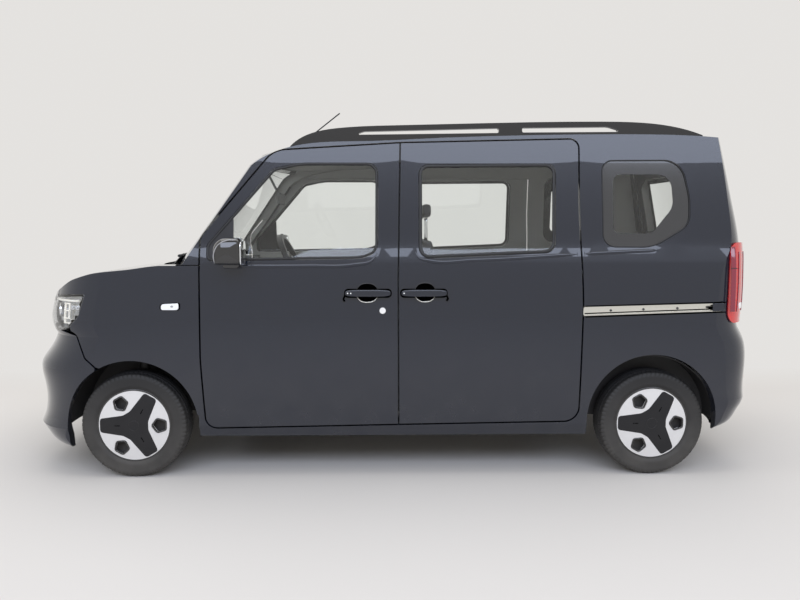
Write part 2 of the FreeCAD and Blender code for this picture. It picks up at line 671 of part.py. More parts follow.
def quarter_panels():
    """Body sides behind the sliding doors, with window, wheel arch and lamp cut-outs."""
    panel = SHELL.common(box(QUARTER_X, FAR, -FAR, -ROOF_HALF, QUARTER_BOTTOM_Z, FAR))
    panel = panel.cut(box(-FAR, SILL_END_X + SHUT_GAP, -FAR, FAR, -OVERRUN, SILL_TOP_Z))
    panel = panel.cut(door_space(SLIDING_DOOR_SHARES)).cut(arch(REAR_AXLE_X))
    panel = panel.cut(track_room(TRACK_GAP, TRACK_DEPTH))
    behind = front_view([(BUMPER_HALF, -OVERRUN), (BUMPER_HALF, TAILGATE_FOOT_Z - TAILGATE_GAP),
                         (TAILGATE_FOOT_HALF + TAILGATE_GAP, TAILGATE_FOOT_Z - TAILGATE_GAP),
                         (TAILGATE_TOP_HALF + TAILGATE_GAP, ROOF_HEIGHT + WALL)],
                        TAILGATE_TOP_X - TAILGATE_GAP, FAR)
    panel = panel.cut(behind).cut(left(outline(QUARTER_WINDOW_SHARES)))
    lamp = across(outline(TAIL_LAMP_SHARES), -FAR, -TAIL_LAMP_INNER_HALF)
    panel = panel.cut(lamp.cut(tail_lamp_back()))
    return Part.makeCompound([panel, mirrored(panel)])


def tail_lamp_back():
    """The hollow body behind the tail lamps."""
    return side_slab(LAMP_DEPTH).common(moved(AHEAD_OF_TAIL, -LAMP_DEPTH, 0, 0))


def tail_lamps():
    """Upright lamps at the rear corners, standing proud of the body."""
    block = side_slab(-TAIL_LAMP_PROUD / 4).common(moved(AHEAD_OF_TAIL, TAIL_LAMP_PROUD, 0, 0))
    wire = outline(TAIL_LAMP_SHARES, -SEAT_CLEARANCE)
    room = across(wire, -FAR, -TAIL_LAMP_INNER_HALF - SEAT_CLEARANCE)
    lamp = block.common(room).cut(tail_lamp_back())
    return Part.makeCompound([lamp, mirrored(lamp)])


def front_fenders():
    """Front wings between the bonnet, the bumper, the lamps and the doors."""
    region = across(outline(FENDER_SHARES, -SHUT_GAP / 2), -FAR, -BONNET_HALF - SHUT_GAP)
    wing = SHELL.common(region).cut(door_space(FRONT_DOOR_SHARES)).cut(arch(FRONT_AXLE_X))
    sill = box(SILL_START_X - SHUT_GAP, FAR, -FAR, FAR, -OVERRUN, SILL_TOP_Z)
    wing = wing.cut(sill).cut(box(-FAR, FAR, -FAR, FAR, SHOULDER_Z, FAR)).cut(screen_room(0.0))
    return Part.makeCompound([wing, mirrored(wing)])


def front_bumper():
    """The face of the vehicle below the bonnet, with its slatted lower intake."""
    left_half = across(outline(BUMPER_SHARES, -SHUT_GAP / 2), -FAR, 0)
    region = left_half.fuse(mirrored(left_half))
    face = SHELL.common(region).cut(arch(FRONT_AXLE_X))
    lamp = across(outline(HEADLAMP_SHARES, SHUT_GAP / 2), -FAR, -HEADLAMP_INNER_HALF + SEAT_CLEARANCE)
    face = face.cut(lamp).cut(mirrored(lamp))
    for i in range(INTAKE_SLOTS):
        z = INTAKE_Z + i * INTAKE_PITCH
        face = face.cut(box(-FAR, NOSE_X + OVERRUN, -INTAKE_HALF, INTAKE_HALF, z, z + INTAKE_SLOT))
    return face


def headlamps():
    """Corner lamps that wrap from the face to the sides."""
    back = side_slab(LAMP_DEPTH).common(moved(FACE, LAMP_DEPTH, 0, 0))
    room = across(outline(HEADLAMP_SHARES, SHUT_GAP / 2 - SEAT_CLEARANCE), -FAR, -HEADLAMP_INNER_HALF)
    lamp = OUTER.common(room).cut(back)
    lamp = lamp.cut(box(-FAR, FAR, -BONNET_HALF - SHUT_GAP, 0, BONNET_EDGE_Z - SHUT_GAP, FAR))
    return Part.makeCompound([lamp, mirrored(lamp)])


def bonnet():
    """The bonnet skin, between the wings and ahead of the cowl."""
    room = box(-FAR, 0, -BONNET_HALF, BONNET_HALF, BONNET_EDGE_Z, FAR)
    skin = SHELL.common(room).cut(moved(UNDER_TOP, -COWL_DEPTH, 0, 0))
    points = [(V(BONNET_AXIS_X - BONNET_ARM, 0, BONNET_AXIS_Z - BONNET_ARM_DEPTH), SHUT_GAP),
              (V(BONNET_AXIS_X - BONNET_ARM, 0, BONNET_AXIS_Z + BONNET_ARM_DEPTH), SHUT_GAP),
              (V(BONNET_AXIS_X + BONNET_ARM_DEPTH, 0, BONNET_AXIS_Z + BONNET_ARM_DEPTH), BONNET_ARM_DEPTH),
              (V(BONNET_AXIS_X + BONNET_ARM_DEPTH, 0, BONNET_AXIS_Z - BONNET_ARM_DEPTH), BONNET_ARM_DEPTH)]
    for y in (-BONNET_ARM_HALF, BONNET_ARM_HALF):
        arm = across(rounded(points), y - BONNET_ARM_DEPTH / 2, y + BONNET_ARM_DEPTH / 2)
        arm = arm.common(moved(UNDER_BONNET, 0, 0, -NOSE_WALL / 4))
        skin = skin.fuse(arm).cut(bonnet_pin(y, BONNET_ARM_DEPTH, PIN_RADIUS + SEAT_CLEARANCE))
    return skin


def bonnet_pin(y, reach, radius):
    """A pin along the bonnet's hinge axis, centred on one arm."""
    return Part.makeCylinder(radius, 2 * reach, V(BONNET_AXIS_X, y - reach, BONNET_AXIS_Z), V(0, 1, 0))


def rear_bumper():
    """The lower rear panel under the tailgate."""
    half = BUMPER_HALF - SEAT_CLEARANCE
    room = box(REAR_BUMPER_X, FAR, -half, half, REAR_BUMPER_BOTTOM_Z, TAILGATE_FOOT_Z - TAILGATE_GAP)
    return SHELL.common(room)


def tailgate():
    """The rear door, from the roof seam to the bumper, with its window cut."""
    gate = SHELL.common(tailgate_room(0.0))
    gate = gate.cut(rear_window_room(0.0))
    bore = PIN_RADIUS + SEAT_CLEARANCE
    for y in (-GATE_LUG_HALF, GATE_LUG_HALF):
        half = LUG_HEIGHT / 2 + JOINT_GAP
        pocket = box(0, GATE_AXIS_X + POCKET_BEHIND, y - half, y + half, REAR_HEADER_Z, GATE_AXIS_Z + bore)
        gate = gate.cut(pocket)
        gate = gate.cut(gate_pin(y, LUG_HEIGHT / 2 + 2 * PIN_REACH, bore))
    return gate


def rear_window_room(grow):
    """The rear window opening seen from the back, grown by a distance."""
    corners = [(REAR_WINDOW_FOOT_HALF + grow, REAR_WINDOW_FOOT_Z - grow),
               (REAR_WINDOW_TOP_HALF + grow, REAR_WINDOW_TOP_Z + grow)]
    return front_view(corners, TAILGATE_TOP_X + TAILGATE_RIM, FAR)


def tailgate_glass():
    """The rear window."""
    layer = moved(AHEAD_OF_TAIL, -GLASS_RECESS, 0, 0).cut(moved(AHEAD_OF_TAIL, -GLASS_RECESS - GLASS, 0, 0))
    return layer.common(rear_window_room(-SEAT_CLEARANCE))


def windscreen():
    """The front glass, bowed like the body above it."""
    layer = moved(UNDER_TOP, GLASS_RECESS, 0, 0).cut(moved(UNDER_TOP, GLASS_RECESS + SCREEN_GLASS, 0, 0))
    return layer.common(screen_room(-SEAT_CLEARANCE)).common(box(-FAR, 0, -FAR, FAR, 0, FAR))


def front_door():
    """The left front door, as thick as the body side, with its window cut."""
    door = SHELL.common(left(outline(FRONT_DOOR_SHARES, -SHUT_GAP / 2), DOOR_INNER))
    door = door.cut(left(outline(FRONT_WINDOW_SHARES)))
    bore = PIN_RADIUS + SEAT_CLEARANCE
    for z in HINGE_LEVELS:
        pocket = box(-FAR, DOOR_AXIS_X + POCKET_BEHIND, -DOOR_AXIS_HALF - bore, 0,
                     z - JOINT_GAP, z + LUG_HEIGHT + JOINT_GAP)
        top = z + LUG_HEIGHT + 2 * PIN_REACH
        hole = upright_pin(DOOR_AXIS_X, -DOOR_AXIS_HALF, z - 2 * PIN_REACH, top, bore)
        door = door.cut(pocket).cut(hole)
    return door


def track_room(grow, inner):
    """The slot of the sliding door's track in the left body side, from the skin down to a depth."""
    top, bottom = TRACK_LINE_SHARES
    start, end = QUARTER_X - SHUT_GAP, side(TRACK_END_SHARE, 0).x
    corners = [V(start, 0, bottom[0] * ROOF_HEIGHT - grow), V(end, 0, bottom[1] * ROOF_HEIGHT - grow),
               V(end, 0, top[1] * ROOF_HEIGHT + grow), V(start, 0, top[0] * ROOF_HEIGHT + grow)]
    return left(polygon(corners)).cut(side_slab(inner))


def door_tracks():
    """The bright channels behind the sliding doors that their middle rollers run in."""
    bar = track_room(0.0, TRACK_DEPTH - SEAT_CLEARANCE).common(side_slab(TRACK_RECESS))
    channel = bar.cut(track_room(-TRACK_LIP, TRACK_DEPTH - TRACK_LIP))
    channel = channel.cut(door_space(SLIDING_DOOR_SHARES))
    return Part.makeCompound([channel, mirrored(channel)])


def sliding_doors():
    """Both sliding doors, closed."""
    door = SHELL.common(left(outline(SLIDING_DOOR_SHARES, -SHUT_GAP / 2), DOOR_INNER))
    door = door.cut(left(outline(SLIDING_WINDOW_SHARES)))
    layer = outer_layer(WALL / 2, WALL + DOOR_SWEEP - SEAT_CLEARANCE)
    for z in (SILL_TOP_Z - RUNNER_HEIGHT, UPPER_HINGE_Z):
        runner = box(RUNNER_X, RUNNER_X + RUNNER_LENGTH, -FAR, 0, z, z + RUNNER_HEIGHT)
        door = door.fuse(layer.common(runner))
    return Part.makeCompound([door, mirrored(door)])


def window_glass(shares):
    """The glass of a left side window."""
    return outer_layer(GLASS_RECESS, GLASS_RECESS + GLASS).common(left(outline(shares, -SEAT_CLEARANCE)))


def side_glass():
    """Fixed side windows: sliding doors and rear quarters."""
    panes = [window_glass(SLIDING_WINDOW_SHARES), window_glass(QUARTER_WINDOW_SHARES)]
    return Part.makeCompound(panes + [mirrored(p) for p in panes])


def roof_rails():
    """Two roof rails, each a bar on three feet."""
    points = [side(x, z) for x, z in ROOF_RAIL_SHARES]
    below = [V(points[-1].x, 0, ROOF_HEIGHT - ROOF_CROWN - WALL), V(points[0].x, 0, points[0].z - WALL)]
    wire = Part.Wire([spline(points), Part.makeLine(points[-1], below[0]), Part.makeLine(below[0], below[1]),
                      Part.makeLine(below[1], points[0])])
    rail = across(wire, -RAIL_HALF - RAIL_WIDTH / 2, -RAIL_HALF + RAIL_WIDTH / 2).cut(UNDER_TOP)
    for slot in RAIL_SLOTS_SHARES:
        rail = rail.cut(across(outline(slot), -FAR, 0))
    rail = max(rail.Solids, key=lambda solid: solid.Volume)
    return Part.makeCompound([rail, mirrored(rail)])


def revolved(profile, centre):
    """A ring about a wheel axis, from (radius, y) points of its section."""
    points = [V(centre.x, centre.y + y, centre.z + radius) for radius, y in profile]
    return Part.Face(polygon(points)).revolve(centre, V(0, 1, 0), 360)


def tyre(centre, out):
    """A tyre; out is the direction of its outer face along Y."""
    half = TYRE_WIDTH / 2
    seat = RIM_RADIUS + SEAT_CLEARANCE
    shoulder = TYRE_RADIUS - TYRE_SHOULDER
    section = [(seat, -half), (shoulder, -half), (TYRE_RADIUS, -half + TYRE_SHOULDER),
               (TYRE_RADIUS, half - TYRE_SHOULDER), (shoulder, half), (seat, half)]
    return revolved([(r, y * out) for r, y in section], centre)


def rim(centre, out):
    """A pressed wheel: a barrel with flanges, a disc and a centre bore."""
    half = RIM_WIDTH / 2
    seat = RIM_SEAT_RADIUS - SEAT_CLEARANCE
    barrel = revolved([(seat - RIM_WALL, -half * out), (RIM_RADIUS, -half * out),
                       (RIM_RADIUS, (RIM_WALL - half - SEAT_CLEARANCE) * out),
                       (seat, (RIM_WALL - half - SEAT_CLEARANCE) * out),
                       (seat, (half - RIM_WALL + SEAT_CLEARANCE) * out),
                       (RIM_RADIUS, (half - RIM_WALL + SEAT_CLEARANCE) * out), (RIM_RADIUS, half * out),
                       (seat - RIM_WALL, half * out)], centre)
    disc_radius = seat - RIM_WALL / 2
    disc = revolved([(HUB_BORE_RADIUS, DISC_OUT * out), (HUB_BORE_RADIUS, (DISC_OUT + RIM_WALL) * out),
                     (disc_radius, (DISC_OUT + RIM_WALL) * out), (disc_radius, DISC_OUT * out)], centre)
    return barrel.fuse(disc).removeSplitter()


def wheel_cover(centre, out):
    """The full wheel cover: a shallow dish with three windows between three arms."""
    face = RIM_WIDTH / 2
    dish = revolved([(0, (face - COVER_WALL) * out), (0, (face + COVER_CROWN) * out),
                     (COVER_RADIUS / 2, (face + COVER_CROWN) * out), (COVER_RADIUS, (face + COVER_WALL) * out),
                     (COVER_RADIUS, (face + SEAT_CLEARANCE) * out),
                     (RIM_SEAT_RADIUS - COVER_DEPTH, (face + SEAT_CLEARANCE) * out),
                     (RIM_SEAT_RADIUS - COVER_DEPTH, (face - COVER_WALL) * out)], centre)
    for i in range(COVER_WINDOWS):
        angle = 2 * math.pi * i / COVER_WINDOWS
        corners = []
        for k in range(WINDOW_SIDES):
            turn = angle + 2 * math.pi * (k + 1 / 2) / WINDOW_SIDES
            place = V(COVER_WINDOW_REACH * math.cos(angle) + COVER_WINDOW_RADIUS * math.cos(turn), 0,
                      COVER_WINDOW_REACH * math.sin(angle) + COVER_WINDOW_RADIUS * math.sin(turn))
            corners.append((centre + place, COVER_WINDOW_RADIUS / 3))
        dish = dish.cut(across(rounded(corners), -TYRE_WIDTH, TYRE_WIDTH))
    return dish


def wheel_centre(axle_x, out):
    """The middle of one wheel."""
    return V(axle_x, HALF_TRACK * out, AXLE_Z)


def knuckle(out):
    """The steering knuckle of a front wheel, with its hub, bored for the pin of the lower arm."""
    y = KINGPIN_HALF * out
    upright = upright_pin(FRONT_AXLE_X, y, KNUCKLE_BOTTOM_Z, KNUCKLE_TOP_Z, KNUCKLE_RADIUS)
    length = HALF_TRACK + DISC_OUT - SEAT_CLEARANCE - KINGPIN_HALF
    hub = Part.makeCylinder(HUB_RADIUS, length, V(FRONT_AXLE_X, y, AXLE_Z), V(0, out, 0))
    nose = Part.makeCylinder(HUB_BORE_RADIUS - SEAT_CLEARANCE, length + HUB_NOSE, V(FRONT_AXLE_X, y, AXLE_Z),
                             V(0, out, 0))
    top = KNUCKLE_BOTTOM_Z + KINGPIN_REACH + JOINT_GAP
    bore = upright_pin(FRONT_AXLE_X, y, 0, top, KINGPIN_RADIUS + SEAT_CLEARANCE)
    return upright.fuse(hub).fuse(nose).cut(bore)


def front_suspension():
    """Front rails, cross-member, and lower arms that end in the steering pins and carry the dampers."""
    rail_top = FRONT_RAIL_Z + RAIL_SIZE
    reach = FRONT_RAIL_HALF + RAIL_SIZE / 2
    body = box(FRONT_AXLE_X - RAIL_SIZE, FRONT_AXLE_X + RAIL_SIZE, -reach, reach, ARM_Z, rail_top)
    for out in (-1, 1):
        y0, y1 = sorted((out * (FRONT_RAIL_HALF - RAIL_SIZE / 2), out * reach))
        rail = box(NOSE_X, BULKHEAD_X - COWL_WALL, y0, y1, FRONT_RAIL_Z, rail_top)
        body = body.fuse(rail.common(moved(FACE, NOSE_WALL + SEAT_CLEARANCE, 0, -NOSE_WALL / 2)))
        y0, y1 = sorted((0, out * (KINGPIN_HALF + KNUCKLE_RADIUS / 2)))
        arm_x = FRONT_AXLE_X - RAIL_SIZE / 2
        body = body.fuse(box(arm_x, arm_x + RAIL_SIZE, y0, y1, ARM_Z, ARM_Z + ARM_THICKNESS))
        for half, top, radius in ((KINGPIN_HALF, KNUCKLE_BOTTOM_Z + KINGPIN_REACH, KINGPIN_RADIUS),
                                  (DAMPER_HALF, DOME_TOP_Z - TUB_WALL - SEAT_CLEARANCE, DAMPER_RADIUS)):
            body = body.fuse(upright_pin(FRONT_AXLE_X, out * half, ARM_Z, top, radius))
    return body.removeSplitter()


def wheel_houses():
    """Sheet tubs over the four wheels; the front ones carry the strut domes."""
    tubs = []
    for axle_x, inner_half in ((FRONT_AXLE_X, FRONT_TUB_HALF), (REAR_AXLE_X, REAR_TUB_HALF)):
        start = V(axle_x, -HALF_WIDTH, ARCH_CENTRE_Z)
        length = HALF_WIDTH - inner_half
        solid = Part.makeCylinder(TUB_RADIUS, length, start, V(0, 1, 0))
        hollow = Part.makeCylinder(TUB_RADIUS - TUB_WALL, length - TUB_WALL, start, V(0, 1, 0))
        if axle_x > 0:
            reach = AXLE_TUBE_RADIUS + JOINT_GAP
            solid = solid.cut(box(axle_x - reach, axle_x + reach, -FAR, FAR, 0, AXLE_Z + reach))
        else:
            base = V(axle_x, -DAMPER_HALF, AXLE_Z)
            height = DOME_TOP_Z - AXLE_Z
            solid = solid.fuse(Part.makeCylinder(DOME_RADIUS, height, base))
            hollow = hollow.fuse(Part.makeCylinder(DOME_RADIUS - TUB_WALL, height - TUB_WALL, base))
        tub = solid.cut(hollow).common(box(-FAR, FAR, -FAR, FAR, TUB_BOTTOM_Z, FAR))
        tubs.append(tub.common(side_slab(WALL + SEAT_CLEARANCE)))
    return Part.makeCompound(tubs + [mirrored(t) for t in tubs])


def floor_pan():
    """The floor, its step over the rear axle, the seat boxes and two long rails."""
    low = box(BULKHEAD_X, STEP_X, -SILL_HALF_INNER, SILL_HALF_INNER, FLOOR_Z, FLOOR_Z + FLOOR_DEPTH)
    riser = box(STEP_X, STEP_X + FLOOR_DEPTH, -SILL_HALF_INNER, SILL_HALF_INNER, FLOOR_Z, STEP_Z)
    back = REAR_FLOOR_END_X
    high = box(STEP_X, back, -REAR_TUB_HALF, REAR_TUB_HALF, STEP_Z - FLOOR_DEPTH, STEP_Z)
    pan = low.fuse(riser).fuse(high)
    for y in (-SEAT_HALF, SEAT_HALF):
        pan = pan.fuse(box(FRONT_SEAT_X, FRONT_SEAT_X + SEAT_LENGTH + SEAT_SLOPE,
                           y - SEAT_BOX_WIDTH / 2, y + SEAT_BOX_WIDTH / 2, FLOOR_Z, CUSHION_Z))
    bench_half = BENCH_HALF - SEAT_SLOPE
    pan = pan.fuse(box(REAR_SEAT_X + SEAT_SLOPE, STEP_X, -bench_half, bench_half, FLOOR_Z, CUSHION_Z))
    for y in (-LONG_RAIL_HALF, LONG_RAIL_HALF):
        y0, y1 = y - RAIL_SIZE / 2, y + RAIL_SIZE / 2
        pan = pan.fuse(box(BULKHEAD_X, STEP_X + FLOOR_DEPTH, y0, y1, FLOOR_Z - RAIL_SIZE, FLOOR_Z))
        pan = pan.fuse(box(STEP_X, back, y0, y1, STEP_Z - FLOOR_DEPTH - RAIL_SIZE, STEP_Z - FLOOR_DEPTH))
    return pan.removeSplitter()


def front_bulkhead():
    """The wall ahead of the cabin and the cowl under the windscreen."""
    points = [V(BULKHEAD_X, 0, FLOOR_Z), V(BULKHEAD_X, 0, COWL_BEND_Z), V(COWL_X, 0, COWL_Z),
              V(COWL_X, 0, COWL_Z - COWL_WALL), V(BULKHEAD_X - COWL_WALL, 0, COWL_BEND_Z - COWL_WALL),
              V(BULKHEAD_X - COWL_WALL, 0, FLOOR_Z)]
    wall = across(polygon(points), -COWL_HALF, COWL_HALF)
    foot = box(-FAR, FAR, -FAR, -SILL_HALF_INNER, 0, SILL_TOP_Z)
    wall = wall.cut(foot).cut(mirrored(foot))
    wall = wall.common(side_slab(WALL + DOOR_SWEEP)).common(moved(UNDER_TOP, COWL_RECESS, 0, 0))
    for sign in (-1, 1):
        y = sign * BONNET_ARM_HALF
        low, high = sorted((y + sign * BONNET_ARM_DEPTH, y + sign * 2 * BONNET_ARM_DEPTH))
        lug = box(BONNET_AXIS_X - PIN_REACH, BONNET_AXIS_X + PIN_REACH, low, high,
                  COWL_Z - 3 * COWL_WALL, BONNET_AXIS_Z + PIN_REACH)
        wall = wall.fuse(lug)
        wall = wall.fuse(bonnet_pin(y + sign * BONNET_ARM_DEPTH / 2, BONNET_ARM_DEPTH, PIN_RADIUS))
    return wall


def dashboard():
    """The dashboard and the steering column."""
    points = [(V(BULKHEAD_X, 0, DASH_BOTTOM_Z), DASH_ROUND / 4),
              (V(BULKHEAD_X, 0, DASH_TOP_Z - DASH_ROUND), DASH_ROUND / 4),
              (V(BULKHEAD_X + DASH_ROUND, 0, DASH_TOP_Z), DASH_ROUND),
              (V(DASH_FACE_X - DASH_ROUND, 0, DASH_TOP_Z), DASH_ROUND),
              (V(DASH_FACE_X, 0, DASH_TOP_Z - DASH_ROUND), DASH_ROUND),
              (V(DASH_FACE_X - DASH_ROUND, 0, DASH_BOTTOM_Z), DASH_ROUND)]
    board = across(rounded(points), -DASH_HALF, DASH_HALF)
    axis = column_axis()
    start = WHEEL_CENTRE - axis * (COLUMN_LENGTH + HUB_DEPTH)
    column = Part.makeCylinder(COLUMN_RADIUS, COLUMN_LENGTH, start, axis)
    shaft = Part.makeCylinder(KINGPIN_RADIUS, COLUMN_LENGTH + KINGPIN_REACH, start, axis)
    return board.fuse(column).fuse(shaft)


def column_axis():
    """The direction of the steering column, from the dashboard to the driver."""
    tilt = math.radians(COLUMN_TILT_DEG)
    return V(math.cos(tilt), 0, math.sin(tilt))


def steering_wheel():
    """A rim, three spokes and a hub."""
    axis = column_axis()
    grip = [(STEERING_RADIUS - 2 * GRIP_RADIUS, GRIP_RADIUS), (STEERING_RADIUS, GRIP_RADIUS)]
    outer, inner = (Part.makeCylinder(r, 2 * h, WHEEL_CENTRE - axis * h, axis) for r, h in reversed(grip))
    ring = outer.cut(inner)
    hub_start = WHEEL_CENTRE - axis * (HUB_DEPTH - JOINT_GAP)
    wheel = ring.fuse(Part.makeCylinder(STEERING_HUB_RADIUS, HUB_DEPTH, hub_start, axis))
    up = V(-axis.z, 0, axis.x)
    for turn in SPOKE_TURNS_DEG:
        a = math.radians(turn)
        direction = V(0, 1, 0) * math.cos(a) + up * math.sin(a)
        reach = STEERING_RADIUS - GRIP_RADIUS - SPOKE_RADIUS / 2
        wheel = wheel.fuse(Part.makeCylinder(SPOKE_RADIUS, reach, WHEEL_CENTRE, direction))
    depth = KINGPIN_REACH + JOINT_GAP
    bore = Part.makeCylinder(KINGPIN_RADIUS + SEAT_CLEARANCE, depth, WHEEL_CENTRE - axis * HUB_DEPTH, axis)
    return wheel.cut(bore)


def padded_block(x0, x1, y0, y1, z0, z1, edge):
    """A block with rounded corners in side view and in plan."""
    side_corners = [V(x0, 0, z0), V(x0, 0, z1), V(x1, 0, z1), V(x1, 0, z0)]
    plan_corners = [V(x0, y0, z0), V(x1, y0, z0), V(x1, y1, z0), V(x0, y1, z0)]
    side_view = across(rounded([(p, edge) for p in side_corners]), y0, y1)
    plan_view = Part.Face(rounded([(p, edge) for p in plan_corners])).extrude(V(0, 0, z1 - z0))
    return side_view.common(plan_view)


def seat_cushions():
    """Two front cushions and the rear bench cushion."""
    x0 = FRONT_SEAT_X - SEAT_SLOPE
    z0 = CUSHION_Z + SEAT_CLEARANCE
    z1 = z0 + CUSHION_DEPTH
    front = [padded_block(x0, x0 + SEAT_LENGTH, y - SEAT_WIDTH / 2, y + SEAT_WIDTH / 2, z0, z1, CUSHION_EDGE)
             for y in (-SEAT_HALF, SEAT_HALF)]
    bench = padded_block(REAR_SEAT_X, REAR_SEAT_X + SEAT_LENGTH, -BENCH_HALF, BENCH_HALF, z0, z1, CUSHION_EDGE)
    return Part.makeCompound(front + [bench])


def leaning_back(x0, y0, y1, z0, height):
    """A seat back with a flat foot that leans backwards."""
    lean = height * math.tan(math.radians(SEAT_LEAN_DEG))
    foot = CUSHION_EDGE / 4
    points = [(V(x0, 0, z0), foot), (V(x0 + lean, 0, z0 + height), CUSHION_EDGE),
              (V(x0 + lean + BACK_DEPTH, 0, z0 + height), CUSHION_EDGE), (V(x0 + BACK_DEPTH, 0, z0), foot)]
    return across(rounded(points), y0, y1)


def seat_backs():
    """Two front backs with head restraints and the rear bench back."""
    z0 = CUSHION_Z + SEAT_CLEARANCE
    x0 = FRONT_SEAT_X + SEAT_LENGTH - SEAT_SLOPE + SEAT_CLEARANCE
    lean = BACK_HEIGHT * math.tan(math.radians(SEAT_LEAN_DEG))
    middle = x0 + lean + BACK_DEPTH / 2
    head_z = z0 + BACK_HEIGHT + HEAD_GAP
    backs = []
    for y in (-SEAT_HALF, SEAT_HALF):
        back = leaning_back(x0, y - SEAT_WIDTH / 2, y + SEAT_WIDTH / 2, z0, BACK_HEIGHT)
        head = padded_block(middle - HEAD_DEPTH / 2, middle + HEAD_DEPTH / 2,
                            y - HEAD_WIDTH / 2, y + HEAD_WIDTH / 2, head_z, head_z + HEAD_HEIGHT, HEAD_DEPTH / 3)
        post_z = head_z - HEAD_GAP - CUSHION_EDGE
        for post_y in (y - HEAD_WIDTH / 4, y + HEAD_WIDTH / 4):
            post = upright_pin(middle, post_y, post_z, head_z + CUSHION_EDGE, POST_RADIUS)
            head = head.fuse(post)
        backs.append(back.fuse(head))
    rear_x = STEP_X + SEAT_CLEARANCE
    half = BENCH_HALF - BENCH_SIDE_GAP
    backs.append(leaning_back(rear_x, -half, half, STEP_Z + SEAT_CLEARANCE, BENCH_BACK))
    return Part.makeCompound(backs)


def interior_mirror():
    """The mirror behind the windscreen, with its stalk."""
    x = MIRROR_X
    top = MIRROR_Z + MIRROR_HEIGHT
    glass = padded_block(x, x + MIRROR_DEPTH, -MIRROR_HALF, MIRROR_HALF, MIRROR_Z, top, MIRROR_DEPTH / 3)
    foot = V(x + MIRROR_DEPTH / 2, 0, MIRROR_Z + MIRROR_HEIGHT / 2)
    stalk = Part.makeCylinder(POST_RADIUS, OVERRUN, foot, V(-1, 0, 2).normalize())
    return glass.fuse(stalk.common(moved(UNDER_TOP, GLASS_RECESS + SCREEN_GLASS + SEAT_CLEARANCE, 0, 0)))


def door_mirror():
    """The left door mirror: a housing on a foot at the corner of the window."""
    shell = padded_block(DOOR_MIRROR_X, DOOR_MIRROR_X + DOOR_MIRROR_LENGTH,
                         -DOOR_MIRROR_REACH, -DOOR_MIRROR_INNER,
                         DOOR_MIRROR_Z, DOOR_MIRROR_Z + DOOR_MIRROR_HEIGHT, DOOR_MIRROR_ROUND)
    foot = box(DOOR_MIRROR_X + DOOR_MIRROR_ROUND, DOOR_MIRROR_X + DOOR_MIRROR_LENGTH - DOOR_MIRROR_ROUND,
               -DOOR_MIRROR_INNER - DOOR_MIRROR_ROUND, -HALF_WIDTH / 2, DOOR_MIRROR_Z - DOOR_MIRROR_FOOT,
               DOOR_MIRROR_Z + DOOR_MIRROR_ROUND)
    return shell.fuse(foot).cut(side_slab(0.0))


def door_handle(x0):
    """A left pull handle: a bar on two feet."""
    z = HANDLE_Z
    reach = HALF_WIDTH + HANDLE_REACH
    edge = HANDLE_BAR / 3
    bar = padded_block(x0, x0 + HANDLE_LENGTH, -reach, -reach + HANDLE_BAR, z, z + HANDLE_HEIGHT, edge)
    for x in (x0 + HANDLE_FOOT, x0 + HANDLE_LENGTH - 2 * HANDLE_FOOT):
        foot = box(x, x + HANDLE_FOOT, -reach + HANDLE_BAR / 2, -HALF_WIDTH / 2,
                   z + edge, z + HANDLE_HEIGHT - edge)
        bar = bar.fuse(foot)
    return bar.cut(side_slab(0.0))


def sliding_door_handles():
    """The handles of both sliding doors."""
    handle = door_handle(REAR_HANDLE_X)
    return Part.makeCompound([handle, mirrored(handle)])


def rear_axle():
    """The rear beam and its hubs."""
    reach = HALF_TRACK + DISC_OUT - SEAT_CLEARANCE
    inner = reach - HUB_NOSE
    beam = Part.makeCylinder(AXLE_TUBE_RADIUS, 2 * inner, V(REAR_AXLE_X, -inner, AXLE_Z), V(0, 1, 0))
    for out in (-1, 1):
        for start, length, radius in ((reach - HUB_LENGTH / 2, HUB_LENGTH / 2, HUB_RADIUS),
                                      (reach, HUB_NOSE, HUB_BORE_RADIUS - SEAT_CLEARANCE)):
            end = V(REAR_AXLE_X, start * out, AXLE_Z)
            beam = beam.fuse(Part.makeCylinder(radius, length, end, V(0, out, 0)))
    return beam.removeSplitter()


def rear_springs():
    """Two leaf springs under the rails."""
    springs = []
    for y in (-LONG_RAIL_HALF, LONG_RAIL_HALF):
        middle = V(REAR_AXLE_X, y - SPRING_WIDTH / 2, AXLE_Z - AXLE_TUBE_RADIUS)
        rail_bottom = STEP_Z - FLOOR_DEPTH - RAIL_SIZE
        ends = [V(REAR_AXLE_X + d, middle.y, rail_bottom) for d in (-SPRING_REACH, SPRING_REACH)]
        drop = V(0, 0, -SPRING_DEPTH)
        top = Part.Arc(ends[0], middle, ends[1]).toShape()
        bottom = Part.Arc(ends[0] + drop, middle + drop, ends[1] + drop).toShape()
        wire = Part.Wire([top, Part.makeLine(ends[1], ends[1] + drop), bottom,
                          Part.makeLine(ends[0] + drop, ends[0])])
        springs.append(Part.Face(wire).extrude(V(0, SPRING_WIDTH, 0)))
    return Part.makeCompound(springs)


def battery_pack():
    """The traction battery under the floor, one plain block."""
    return box(BATTERY_X, BATTERY_X + BATTERY_LENGTH, -BATTERY_HALF, BATTERY_HALF, BATTERY_Z, FLOOR_Z)


def drive_motor():
    """The motor ahead of the rear beam, one plain block held by the beam."""
    block = box(REAR_AXLE_X - MOTOR_LENGTH, REAR_AXLE_X, -MOTOR_HALF, MOTOR_HALF, MOTOR_Z, MOTOR_Z + MOTOR_HEIGHT)
    side_end = V(REAR_AXLE_X, -MOTOR_HALF, AXLE_Z)
    return block.cut(Part.makeCylinder(AXLE_TUBE_RADIUS, 2 * MOTOR_HALF, side_end, V(0, 1, 0)))


